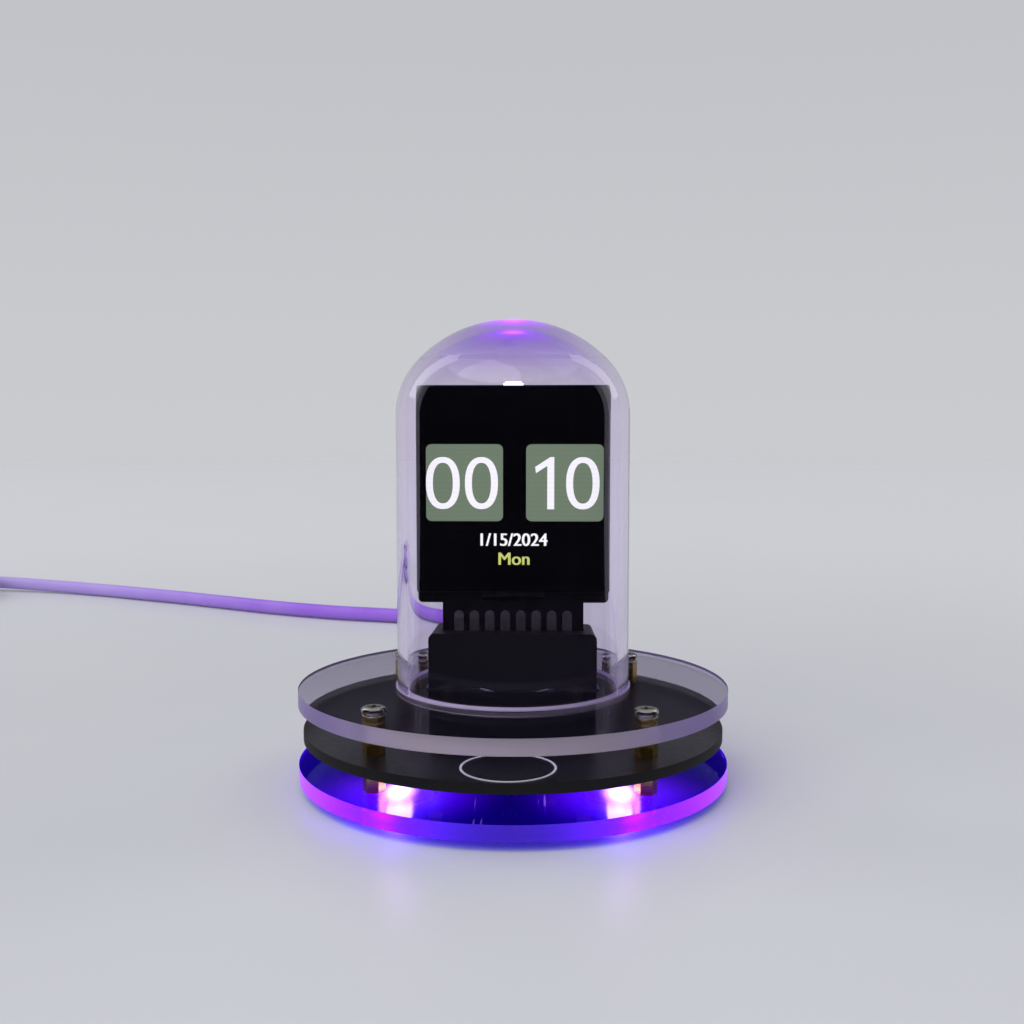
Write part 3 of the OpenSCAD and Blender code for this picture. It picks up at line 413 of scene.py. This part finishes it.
power = add_node(tree, "Math", {"operation": "MULTIPLY_ADD", 1: 5.0}, {0: core, 2: broad})
haze = add_node(tree, "MapRange", {"To Min": 0.04, "To Max": 0.34}, {"Value": near})
shader = add_node(tree, "BsdfPrincipled", {"Base Color": linear("2402a8"), "IOR": 1.49,
                                           "Specular IOR Level": 0.18, "Transmission Weight": 1.0},
                  {"Normal": relief, "Roughness": haze, "Emission Color": tone, "Emission Strength": power})
let_light_through(tree, shader, "8a78ff")

# Lit acrylic, laser-cut rim: violet at the sides, where most light leaves, and indigo at the front and back,
# with the upright lines of the cut.
lit_rim, tree, place = blank_material("lit_acrylic_rim")
side, relief = laser_cut(tree, place, 0.004, 0.024)
tone = add_node(tree, "Mix", {"data_type": "RGBA", 6: linear("3c04ac"), 7: linear("9404fc")}, {0: side})
power = add_node(tree, "MapRange", {"To Min": 0.7, "To Max": 0.9}, {"Value": side})
shader = add_node(tree, "BsdfPrincipled", {"Base Color": linear("2400a8"), "Roughness": 0.22, "IOR": 1.49,
                                           "Specular IOR Level": 0.03, "Transmission Weight": 1.0},
                  {"Normal": relief, "Emission Color": tone, "Emission Strength": power})
let_light_through(tree, shader, "8a78ff")
dress(("base_plate",), lit_face, lit_rim)
paint("base_plate", 1, lambda at, way: abs(way.z) < 0.5)


# The screws: eight nickel-plated M2 pan heads with a cross recess. Four come up through the lower plate and
# are its feet, and four go down through the upper plate into the upper standoffs.
# Nickel plate on cold-headed steel: warm bright metal with small nicks, and edges that heading leaves soft.
nickel = grained("nickel_plate", "a8a39c", "d2cec8", 0.0006, {"Metallic": 1.0}, gloss=(0.14, 0.34),
                 relief=(0.15, 0.00003), edge=0.0001, detail=4.0)
dress(("lower_screws", "upper_screws"), nickel)


# The standoffs: eight hexagonal brass pillars, turned from bar. The lower four hold the board over the lower
# plate, and the upper four screw down into them through the board and carry the upper plate.
# Turned brass: warm yellow, with fine rings round each pillar, drawn twice as coarse as they are.
brass = grained("turned_brass", "b08a3c", "d9b868", (0.004, 0.004, 0.00015), {"Metallic": 1.0},
                gloss=(0.2, 0.4), relief=(0.2, 0.00003), edge=0.00012)
dress(("lower_standoffs", "upper_standoffs"), brass)


# The control board: a round fibreglass board with black solder mask on both faces, held between the lower and
# the upper standoffs. It carries the card socket above, and the lights and the other electronics below.
# Black solder mask over copper: satin near-black, with the copper's outlines just raised under the lacquer.
solder_mask, tree, place = blank_material("black_solder_mask")
copper = add_node(tree, "TexVoronoi",
                  {"distance": "CHEBYCHEV", "feature": "F1", "Scale": 1 / 0.0026, "Randomness": 0.75},
                  {"Vector": place})
outline = add_node(tree, "MapRange", {"From Min": 0.3, "From Max": 0.36}, {"Value": copper})
weave = add_node(tree, "TexNoise", {"Scale": 1 / 0.0004, "Detail": 2.0}, {"Vector": place})
tone = add_node(tree, "Mix", {"data_type": "RGBA", 6: linear("0d0d10"), 7: linear("131317")}, {0: outline})
gloss = add_node(tree, "MapRange", {"To Min": 0.26, "To Max": 0.4}, {"Value": weave})
relief = add_node(tree, "Bump", {"Strength": 0.25, "Distance": 0.00003}, {"Height": outline})
skin = add_node(tree, "Bump", {"Strength": 0.1, "Distance": 0.00002}, {"Height": weave, "Normal": relief})
shader = add_node(tree, "BsdfPrincipled", {"IOR": 1.5, "Specular IOR Level": 0.25},
                  {"Base Color": tone, "Roughness": gloss, "Normal": skin})
add_node(tree, "OutputMaterial", links={"Surface": shader})

# Routed fibreglass: the board's cut edge, near black and dull, with its layers of cloth as fine level lines.
board_edge = grained("routed_fibreglass", "070708", "121110", (0.002, 0.002, 0.0002), {"Roughness": 0.7},
                     relief=(0.4, 0.00004), detail=3.0)
dress(("control_board",), solder_mask, board_edge)
paint("control_board", 1, lambda at, way: abs(way.z) < 0.5)


# The touch ring: a plain circle, screen printed on the board's front, that marks where a finger works the
# touch sensor below.
# Screen print: matt off-white ink, greyer in thin places where the mask shows through.
print_white = grained("screen_print_white", "a5a2aa", "d8d6dc", 0.0004, {"Roughness": 0.65}, detail=3.0)
dress(("touch_ring",), print_white)


# The lights under the board: four square colour lights beside the front and rear standoffs, soldered face
# down, that shine through their round windows into the lower plate.
# White moulded housing, lit from inside: so bright a violet that the eye sees white, most of all at its face.
light_body, tree, place = blank_material("lit_white_housing")
level = add_node(tree, "SeparateXYZ", links={0: place})
light_top, light_face = 0.0079, 0.0062
power = add_node(tree, "MapRange",
                 {"From Min": light_top, "From Max": light_face, "To Min": 6.0, "To Max": 16.0},
                 {"Value": level.outputs["Z"]})
grain = add_node(tree, "TexNoise", {"Scale": 1 / 0.0004}, {"Vector": place})
tone = add_node(tree, "Mix", {"data_type": "RGBA", 6: linear("d890ff"), 7: linear("e6b4ff")}, {0: grain})
shader = add_node(tree, "BsdfPrincipled", {"Base Color": linear("f2eef6"), "Roughness": 0.4},
                  {"Emission Color": tone, "Emission Strength": power})
add_node(tree, "OutputMaterial", links={"Surface": shader})

# Lit window of clear resin: brightest at its heart and a deeper violet at its rim.
light_window, tree, place = blank_material("lit_clear_resin")
near = glow_near_lights(tree, place, 0.0016)
tone = add_node(tree, "Mix", {"data_type": "RGBA", 6: linear("b45cff"), 7: linear("e6b4ff")}, {0: near})
power = add_node(tree, "MapRange", {"To Min": 14.0, "To Max": 30.0}, {"Value": near})
shader = add_node(tree, "BsdfPrincipled", {"Base Color": linear("e8dcff"), "Roughness": 0.15},
                  {"Emission Color": tone, "Emission Strength": power})
add_node(tree, "OutputMaterial", links={"Surface": shader})
dress(("base_leds",), light_body, light_window)
window_r, window_z = 0.00142, 0.0067
paint("base_leds", 1, lambda at, way: way.z < -0.3 and at.z < window_z
      and math.hypot(abs(at.x) - light_x, abs(at.y) - light_y) < window_r)


# The radio module: a small blue-black board under the control board that carries the clock's processor in a
# tinned steel shield. Its bare end has a printed aerial, a folded copper line.
# Blue-black solder mask: satin, darker than it is blue.
radio_mask = grained("blue_black_solder_mask", "0b1220", "131d33", 0.0005, {"Roughness": 0.35}, edge=0.0001)

# Tinned sheet steel: grey, a little cloudy, with faint rolling lines along its length.
tinned_steel, tree, place = blank_material("tinned_sheet_steel")
along = add_node(tree, "Mapping", {"Scale": (1 / 0.006, 1 / 0.0003, 1 / 0.0003)}, {"Vector": place})
rolling = add_node(tree, "TexNoise", {"Scale": 1.0, "Detail": 2.0}, {"Vector": along})
cloud = add_node(tree, "TexNoise", {"Scale": 1 / 0.002, "Detail": 3.0}, {"Vector": place})
tone = add_node(tree, "Mix", {"data_type": "RGBA", 6: linear("9a9a9c"), 7: linear("bebec0")}, {0: cloud})
gloss = add_node(tree, "MapRange", {"To Min": 0.24, "To Max": 0.44}, {"Value": rolling})
edge = add_node(tree, "Bevel", {"Radius": 0.00015})
shader = add_node(tree, "BsdfPrincipled", {"Metallic": 1.0},
                  {"Base Color": tone, "Roughness": gloss, "Normal": edge})
add_node(tree, "OutputMaterial", links={"Surface": shader})
dress(("radio_module",), radio_mask)
dress(("radio_shield",), tinned_steel)


# The power socket and the reset switch: cases of the same tinned sheet, soldered under the board. The
# socket's tongue and the switch's button are black mouldings.
dress(("usb_socket", "reset_switch"), tinned_steel)
dress(("usb_tongue", "reset_button"), black_polyester)


# The small parts under the board and on the card's back: moulded chips on tinned legs, a regulator with its
# tab, and brown ceramic capacitors and black resistors with tinned ends, all soldered by their ends or legs.
# Moulded epoxy: charcoal black and matt, with the fine grit of its mould.
epoxy = grained("moulded_epoxy", "18181a", "29292c", 0.00012, {"Roughness": 0.6}, relief=(0.4, 0.00003),
                edge=0.00008)

# Tinned copper: soft grey metal with the low waves that molten tin leaves.
tin = grained("tinned_copper", "9c9a98", "c4c2bf", 0.0009, {"Metallic": 1.0}, gloss=(0.26, 0.46),
              relief=(0.3, 0.00004))

# Fired ceramic: tan brown, dense and dull, with a fine speckle.
ceramic = grained("fired_tan_ceramic", "8f7350", "b4976f", 0.0001, {"Roughness": 0.5}, edge=0.0001)

# Glazed film resistor: glossy black glass, faintly rippled.
glaze = grained("black_glaze", "0e0e10", "1a1a1d", 0.0003, {"Roughness": 0.2}, relief=(0.2, 0.00002))

dress(("serial_chip", "touch_chip", "regulator"), epoxy, tin)
for name, axis, middle, half_body in (("serial_chip", 0, 0.0165, 0.00197), ("touch_chip", 1, -0.018, 0.00082),
                                      ("regulator", 1, 0.0265, 0.00177)):
    paint(name, 1, lambda at, way: abs(at[axis] - middle) > half_body)
dress(("capacitors",), ceramic, tin)
dress(("resistors",), glaze, tin)
dress(("card_chips",), ceramic, tin)
tin_end, beside, beyond = 0.00036, 0.0009, 0.0011
for name, length, middles in (
        ("capacitors", 0.002, ((-0.011, -0.022), (0.011, -0.022), (-0.0225, 0.014), (0.0225, 0.014),
                               (-0.017, 0.008), (-0.017, 0.011), (-0.017, 0.014), (0.006, -0.014))),
        ("resistors", 0.0016, ((-0.006, 0.0255), (0.0065, 0.0255), (-0.004, -0.014), (0.016, 0.015),
                               (-0.014, -0.006), (0.014, -0.006), (-0.017, 0.004), (0, -0.01))),
        ("card_chips", 0.0016, ((-0.007, 0.0017), (0.007, 0.0017), (-0.009, 0.0017), (0.009, 0.0017)))):
    for x, y in middles:
        paint(name, 1, lambda at, way: abs(at.y - y) < beside
              and length / 2 - tin_end < abs(at.x - x) < beyond)


# The solder under the board: a bright cone round each of the card socket's sixteen pins, and a fillet in each
# half hole along the radio module's long edges. It is all that holds the two.
module_low, module_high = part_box("radio_module")
board_under = module_high.z
pin_pitch, card_middle, half_hole_pitch, drop_sides = 0.00254, 0.0006, 0.002, 12


def keep_shape(name, shape, material):
    """Makes a finished shape a piece of the clock and its material."""
    mesh = bpy.data.meshes.new(name)
    shape.to_mesh(mesh)
    shape.free()
    mesh.materials.append(material)
    piece = new_piece(name, mesh)
    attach(piece, "clock")


def drops(name, places, rings, material):
    """Round drops of solder in one piece: at each (x, y), rings of (radius, depth) under the board."""
    shape = bmesh.new()
    for x, y in places:
        loops = []
        for r, depth in rings:
            turns = [math.radians(360 / drop_sides * k) for k in range(drop_sides)]
            loops.append([shape.verts.new((x + r * math.cos(a), y + r * math.sin(a), board_under - depth))
                          for a in turns])
        for upper, lower in zip(loops, loops[1:]):
            for k in range(drop_sides):
                shape.faces.new((upper[k - 1], lower[k - 1], lower[k], upper[k])).smooth = True
        shape.faces.new(loops[0])
        shape.faces.new(loops[-1])
    bmesh.ops.recalc_face_normals(shape, faces=shape.faces)
    keep_shape(name, shape, material)


# Tin solder, set from the melt: bright grey metal, smooth and softly rippled.
solder = grained("tin_solder", "a8a8a8", "d0d0ce", 0.0004, {"Metallic": 1.0}, gloss=(0.15, 0.35),
                 relief=(0.2, 0.00003))
pins = [((i - 3.5) * pin_pitch, card_middle + side * pin_pitch) for i in range(8) for side in (-1, 1)]
cone = ((0.00088, 0), (0.00062, 0.00022), (0.00046, 0.0006), (0.00041, 0.00105))
drops("socket_solder", pins, cone, solder)
first_x = module_low.x + 0.0015
half_holes = [(first_x + half_hole_pitch * i, y) for i in range(8) for y in (module_low.y, module_high.y)]
fillet = ((0.0005, 0), (0.00046, 0.0003), (0.00036, 0.00068), (0.00015, 0.00078))
drops("module_solder", half_holes, fillet, solder)


# The radio module's aerial: a folded copper line on its bare end, gold-flashed, 0.5 mm wide. It is printed
# with the module's other copper and lies open on the board, with no mask over it.
def thicken(shape, way):
    """Joins the faces of a flat piece where they meet, and makes it a solid plate by that step."""
    bmesh.ops.remove_doubles(shape, verts=shape.verts, dist=1e-7)
    grown = bmesh.ops.extrude_face_region(shape, geom=shape.faces[:])["geom"]
    bmesh.ops.translate(shape, verts=[v for v in grown if isinstance(v, bmesh.types.BMVert)], vec=way)
    bmesh.ops.recalc_face_normals(shape, faces=shape.faces)


# Gold-flashed bronze or copper: warm yellow metal, a little duller in places and bright where it is wiped.
bronze = grained("gold_flashed_bronze", "a97f3e", "d8b46a", 0.0008, {"Metallic": 1.0}, gloss=(0.18, 0.36),
                 detail=3.0)
line_w, line_t, turn_gap, runs = 0.0005, 0.00004, 0.0019, 7
aerial_left, aerial_right = module_low.x + 0.018, module_high.x - 0.0008
aerial_y = (module_low.y + module_high.y) / 2 - turn_gap * (runs - 1) / 2
aerial_z = module_low.z - 0.00001
across = [aerial_left, aerial_left + line_w, aerial_right - line_w, aerial_right]
shape = bmesh.new()
for k in range(runs):
    y0 = aerial_y + k * turn_gap - line_w / 2
    y1, next_y, turn = y0 + line_w, y0 + turn_gap, k % 2
    low = [shape.verts.new((x, y0, aerial_z)) for x in across]
    top = [shape.verts.new((x, y1, aerial_z)) for x in across]
    for i in range(3):
        shape.faces.new((low[i], low[i + 1], top[i + 1], top[i]))
    if k < runs - 1:
        x0, x1 = across[2 * turn:2 * turn + 2]
        bend = ((x0, y1), (x1, y1), (x1, next_y), (x0, next_y))
        shape.faces.new([shape.verts.new((x, y, aerial_z)) for x, y in bend])
thicken(shape, (0, 0, -line_t))
keep_shape("aerial_line", shape, bronze)


# The upper plate: a second disc of clear acrylic, laser cut, with a slot that the card socket stands up
# through and a shallow milled groove that the dome's foot sits in. The board's black shows through it.
# Clear cast acrylic: colourless with a breath of violet from the lights, mirror smooth, with a few hair
# scratches.
acrylic, tree, place = blank_material("clear_acrylic_sheet")
hair = add_node(tree, "Mapping", {"Rotation": (0, 0, -0.5), "Scale": (1 / 0.0006, 1 / 0.03, 1.0)},
                {"Vector": place})
scratch = add_node(tree, "TexNoise", {"Scale": 1.0, "Detail": 1.0}, {"Vector": hair})
relief = add_node(tree, "Bump", {"Strength": 0.05, "Distance": 0.00002}, {"Height": scratch})
shader = add_node(tree, "BsdfPrincipled", {"Base Color": linear("f2edff"), "Roughness": 0.01, "IOR": 1.49,
                                           "Specular IOR Level": 0.25, "Transmission Weight": 1.0},
                  {"Normal": relief})
let_light_through(tree, shader, "f0ecfa")

# Laser-cut acrylic edge: frosted, a mauve grey at the front that turns violet towards the sides, where the
# lights' spill leaves it, with the upright lines of the cut.
cut_edge, tree, place = blank_material("clear_acrylic_cut_edge")
side, relief = laser_cut(tree, place, 0.012, 0.03)
tone = add_node(tree, "Mix", {"data_type": "RGBA", 6: linear("b9adbd"), 7: linear("a48fd2")}, {0: side})
shader = add_node(tree, "BsdfPrincipled", {"Roughness": 0.42, "IOR": 1.49, "Transmission Weight": 0.55},
                  {"Base Color": tone, "Normal": relief})
let_light_through(tree, shader, "dcd4ee")

# Milled acrylic: the groove's floor and walls, white and frosted by the cutter's fine rings.
milled, tree, place = blank_material("clear_acrylic_milled")
plan = add_node(tree, "VectorMath", {"operation": "MULTIPLY", 1: (1, 1, 0)}, {0: place})
radius = add_node(tree, "VectorMath", {"operation": "LENGTH"}, {0: plan})
rings = add_node(tree, "TexNoise", {"noise_dimensions": "1D", "Scale": 1 / 0.0002, "Detail": 1.0},
                 {"W": radius})
relief = add_node(tree, "Bump", {"Strength": 0.3, "Distance": 0.00004}, {"Height": rings})
tone = add_node(tree, "Mix", {"data_type": "RGBA", 6: linear("d6d0dd"), 7: linear("efebf3")}, {0: rings})
shader = add_node(tree, "BsdfPrincipled", {"Roughness": 0.5, "IOR": 1.49, "Transmission Weight": 0.2},
                  {"Base Color": tone, "Normal": relief})
let_light_through(tree, shader, "dcd8e4")
dress(("top_plate",), acrylic, cut_edge, milled)
rim_from, groove_from, groove_to, groove_foot, groove_top = 0.025, 0.0165, 0.0196, 0.0145, 0.0155
paint("top_plate", 1, lambda at, way: abs(way.z) < 0.5 and math.hypot(at.x, at.y) > rim_from)
paint("top_plate", 2, lambda at, way: groove_from < math.hypot(at.x, at.y) < groove_to
      and (abs(way.z) < 0.5 or groove_foot < at.z < groove_top))


# The card socket: a black moulded card-edge connector on the board, with two rows of eight gold-flashed
# bronze springs in its slot. Their pins go through the board and are soldered below.
dress(("card_socket",), black_polyester)
dress(("socket_contacts",), bronze)


# The display card: a black fibreglass card that plugs into the socket by its narrow neck, with eight tinned
# pads on each face of the neck. It carries the display, its connector and a few small parts.
dress(("display_card",), solder_mask, board_edge)
paint("display_card", 1, lambda at, way: abs(way.y) < 0.5)
dress(("card_pads",), tin)


# The display: a square colour panel, its glass bonded into a black moulded frame that is stuck to the card's
# front.
# Polished display glass: deep black and mirror smooth, with a little dust and faint smears.
panel_glass, tree, place = blank_material("display_glass")
smears = add_node(tree, "TexNoise", {"Scale": 1 / 0.009, "Detail": 4.0}, {"Vector": place})
dust = add_node(tree, "TexNoise", {"Scale": 1 / 0.0005, "Detail": 3.0}, {"Vector": place})
tone = add_node(tree, "Mix", {"data_type": "RGBA", 6: linear("040406"), 7: linear("0a0a0e")}, {0: dust})
gloss = add_node(tree, "MapRange", {"To Min": 0.03, "To Max": 0.1}, {"Value": smears})
shader = add_node(tree, "BsdfPrincipled", {"IOR": 1.52, "Specular IOR Level": 0.25},
                  {"Base Color": tone, "Roughness": gloss})
add_node(tree, "OutputMaterial", links={"Surface": shader})
dress(("lcd_glass",), panel_glass)
dress(("lcd_frame",), black_polyester)

# The picture on the display: two rounded tiles with the hours and the minutes, and a small date below. The
# lit pixels shine through the same polished glass, so that they keep its gloss.
glass_front, pixel_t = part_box("lcd_glass")[0].y, 0.00001
wave_gap, row_gap = math.pi / 10, 0.000754


def lit_pixels(name, code, strength):
    """Lit pixels behind polished glass: an even colour with the panel's faint rows, drawn coarse to show,
    under a clear gloss. A wave texture's bands lie wave_gap apart where its scale is 1."""
    material, tree, place = blank_material(name)
    rows = add_node(tree, "TexWave", {"bands_direction": "Z", "Scale": wave_gap / row_gap}, {"Vector": place})
    power = add_node(tree, "MapRange", {"To Min": 0.96 * strength, "To Max": strength},
                     {"Value": rows.outputs["Fac"]})
    shader = add_node(tree, "BsdfPrincipled", {"Base Color": linear("050506"), "Roughness": 0.05, "IOR": 1.52,
                                               "Specular IOR Level": 0.25, "Emission Color": linear(code)},
                      {"Emission Strength": power})
    add_node(tree, "OutputMaterial", links={"Surface": shader})
    return material


def show(name, outlines, lift, material):
    """A flat part of the picture: filled outlines of (x, z) points, before the glass by lift."""
    shape = bmesh.new()
    for outline in outlines:
        shape.faces.new([shape.verts.new((x, glass_front - lift, z)) for x, z in outline])
    thicken(shape, (0, pixel_t, 0))
    keep_shape(name, shape, material)


tile_green = lit_pixels("lit_pixels_grey_green", "788a72", 1.0)
pixel_white = lit_pixels("lit_pixels_white", "fbfdfb", 1.15)
pixel_lime = lit_pixels("lit_pixels_lime", "d6e07a", 1.0)

tile_w, tile_z, tile_round = 0.0124, 0.04905, 0.0009
tiles = []
for x in (-0.00775, 0.00836):
    corners = []
    for turn in range(4):
        cx = x + (tile_w / 2 - tile_round) * (1, -1, -1, 1)[turn]
        cz = tile_z + (tile_w / 2 - tile_round) * (1, 1, -1, -1)[turn]
        for k in range(7):
            a = math.radians(90 * turn + 15 * k)
            corners.append((cx + tile_round * math.cos(a), cz + tile_round * math.sin(a)))
    tiles.append(corners)
tile_lift = 0.00003
show("time_tiles", tiles, tile_lift, tile_green)

digit_z, digit_h, digit_lift, stroke, bar, squareness = 0.04899, 0.00838, 0.00005, 0.00112, 0.00092, 2.3


def egg(x, half_w, half_h, count=48):
    """A closed oval of (x, z) points, squarer than an ellipse, whose squareness is 2."""
    oval = []
    for k in range(count):
        c, s = math.cos(2 * math.pi * k / count), math.sin(2 * math.pi * k / count)
        oval.append((x + half_w * math.copysign(abs(c) ** (2 / squareness), c),
                     digit_z + half_h * math.copysign(abs(s) ** (2 / squareness), s)))
    return oval


strokes = []
for x, w in ((-0.01123, 0.00546), (-0.00501, 0.00531), (0.01124, 0.00534)):
    outer = egg(x, w / 2, digit_h / 2)
    inner = egg(x, w / 2 - stroke, digit_h / 2 - bar)
    for k in range(len(outer)):
        strokes.append((outer[k - 1], outer[k], inner[k], inner[k - 1]))
one_right, one_top = 0.00667, digit_z + digit_h / 2
stem = ((-stroke, -digit_h), (0, -digit_h), (0, 0), (-0.00063, 0), (-stroke, -0.00035))
flag = ((-0.00063, 0), (-0.00306, -0.00158), (-0.00292, -0.00258), (-stroke, -0.0014), (-stroke, -0.00035))
for outline in (stem, flag):
    strokes.append([(one_right + x, one_top + z) for x, z in outline])
show("time_digits", strokes, digit_lift, pixel_white)

bold, letter_h, lines_x = 0.00007, 0.0029, 0.00022
for name, words, width, z, material in (("date_line", "1/15/2024", 0.0107, 0.03975, pixel_white),
                                        ("weekday_line", "Mon", 0.0049, 0.03666, pixel_lime)):
    letters = bpy.data.curves.new(name, "FONT")
    letters.body = words
    letters.size = letter_h
    letters.align_x, letters.align_y = "CENTER", "CENTER"
    text = new_piece(name, letters)
    bpy.context.view_layer.update()
    thin = bpy.data.meshes.new_from_object(text)
    bpy.data.objects.remove(text)
    low, high = min(v.co.x for v in thin.vertices), max(v.co.x for v in thin.vertices)
    shape = bmesh.new()
    for step in (-1, 0, 1):
        shape.from_mesh(thin)
        for v in shape.verts[-len(thin.vertices):]:
            x = lines_x + (v.co.x - (low + high) / 2) * width / (high - low) + step * bold
            v.co = (x, glass_front - tile_lift, z + v.co.y)
    thicken(shape, (0, pixel_t, 0))
    keep_shape(name, shape, material)


# The display's tail: a flexible printed film that folds through the card's slot to a pale moulded connector
# behind.
# Polyimide film under a black cover layer: dark and satin, with its copper just raised in a few broad lines.
film, tree, place = blank_material("black_covered_film")
copper_gap = 0.00314
lines = add_node(tree, "TexWave", {"bands_direction": "X", "Scale": wave_gap / copper_gap}, {"Vector": place})
tone = add_node(tree, "Mix", {"data_type": "RGBA", 6: linear("100e0c"), 7: linear("201b15")},
                {0: lines.outputs["Fac"]})
relief = add_node(tree, "Bump", {"Strength": 0.4, "Distance": 0.00003}, {"Height": lines.outputs["Fac"]})
shader = add_node(tree, "BsdfPrincipled", {"Roughness": 0.6, "IOR": 1.5},
                  {"Base Color": tone, "Normal": relief})
add_node(tree, "OutputMaterial", links={"Surface": shader})
dress(("lcd_flex",), film)

# A strip of the same film, stuck to the card's back below and beside the tail, closes the rest of the slot.
tail_low, tail_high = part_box("lcd_flex")
card_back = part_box("display_card")[1].y
tape_w, tape_t, off_card, off_tail = 0.0068, 0.00005, 0.00001, 0.00002
foot_z, slot_z, top_z = tail_low.z - 0.0016, tail_low.z - off_tail, tail_low.z + 0.0009
inside = tail_high.x + off_tail
outline = ((-tape_w, foot_z), (tape_w, foot_z), (tape_w, top_z), (inside, top_z), (inside, slot_z),
           (-inside, slot_z), (-inside, top_z), (-tape_w, top_z))
shape = bmesh.new()
shape.faces.new([shape.verts.new((x, card_back + off_card, z)) for x, z in outline])
thicken(shape, (0, tape_t, 0))
keep_shape("tail_tape", shape, film)

# Moulded liquid-crystal polymer: warm ivory, dense and satin, with faint flow lines.
ivory = grained("moulded_ivory_polymer", "d6cfbd", "e8e3d5", (0.004, 0.0006, 0.0006), {"Roughness": 0.45},
                edge=0.0001, detail=3.0)
latch_z = 0.03641
dress(("flex_connector",), ivory, black_polyester)
paint("flex_connector", 1, lambda at, way: at.z > latch_z)


# The light at the card's top edge: one more colour light, facing up, that sets the dome's crown aglow.
# Lit from inside: so bright a violet on its upper side that the eye sees white, and deep violet below.
crown_light, tree, place = blank_material("lit_crown_resin")
level = add_node(tree, "SeparateXYZ", links={0: place})
crown_foot, crown_top = 0.0637, 0.0652
near = add_node(tree, "MapRange", {"From Min": crown_foot, "From Max": crown_top},
                {"Value": level.outputs["Z"]})
tone = add_node(tree, "Mix", {"data_type": "RGBA", 6: linear("7a1cff"), 7: linear("d070ff")}, {0: near})
power = add_node(tree, "MapRange", {"To Min": 0.8, "To Max": 26.0}, {"Value": near})
shader = add_node(tree, "BsdfPrincipled", {"Base Color": linear("f0e8fa"), "Roughness": 0.3},
                  {"Emission Color": tone, "Emission Strength": power})
add_node(tree, "OutputMaterial", links={"Surface": shader})
dress(("crown_led",), crown_light)


# The dome: a clear acrylic tube with a blown, rounded end and a sawn foot, left frosted. It stands loose in
# the upper plate's groove and lifts straight off, and is the clock's dust cover.
# Blown acrylic: colourless and glossy with gentle waves, violet where one looks along its wall and where the
# light strikes its crown, which is a little hazed by the blowing.
dome_acrylic, tree, place = blank_material("blown_clear_acrylic")
waves = add_node(tree, "TexNoise", {"Scale": 1 / 0.016, "Detail": 1.0}, {"Vector": place})
relief = add_node(tree, "Bump", {"Strength": 0.1, "Distance": 0.0002}, {"Height": waves})
crown_inside = (0, 0, 0.0737)
crown = add_node(tree, "VectorMath", {"operation": "DISTANCE", 1: crown_inside}, {0: place})
struck, near, wide = [
    add_node(tree, "MapRange", {"interpolation_type": "SMOOTHSTEP", "From Min": start, "From Max": stop,
                                "To Min": 1.0, "To Max": 0.0}, {"Value": crown})
    for start, stop in ((0.0006, 0.0032), (0.001, 0.008), (0.004, 0.02))]
veil = add_node(tree, "Mix", {"data_type": "RGBA", 6: linear("fcfaff"), 7: linear("c6a4ff")}, {0: wide})
tone = add_node(tree, "Mix", {"data_type": "RGBA", 7: linear("7c2ce0")}, {0: near, 6: veil})
glow = add_node(tree, "Mix", {"data_type": "RGBA", 6: linear("b414f4"), 7: linear("ff70f8")}, {0: struck})
power = add_node(tree, "Math", {"operation": "MULTIPLY_ADD", 1: 0.6}, {0: near, 2: struck})
haze = add_node(tree, "MapRange", {"From Min": 0.004, "From Max": 0.016, "To Min": 0.07, "To Max": 0.0},
                {"Value": crown})
shader = add_node(tree, "BsdfPrincipled",
                  {"IOR": 1.49, "Specular IOR Level": 0.3, "Transmission Weight": 1.0},
                  {"Base Color": tone, "Roughness": haze, "Normal": relief, "Emission Color": glow,
                   "Emission Strength": power})
end = let_light_through(tree, shader, "f6f3fc")
depth = add_node(tree, "VolumeAbsorption", {"Color": linear("b361f1"), "Density": 50.0})
tree.links.new(depth.outputs[0], end.inputs["Volume"])
sawn_z = 0.01505
dress(("dome",), dome_acrylic, milled)
paint("dome", 1, lambda at, way: at.z < sawn_z)


bpy.context.view_layer.update()
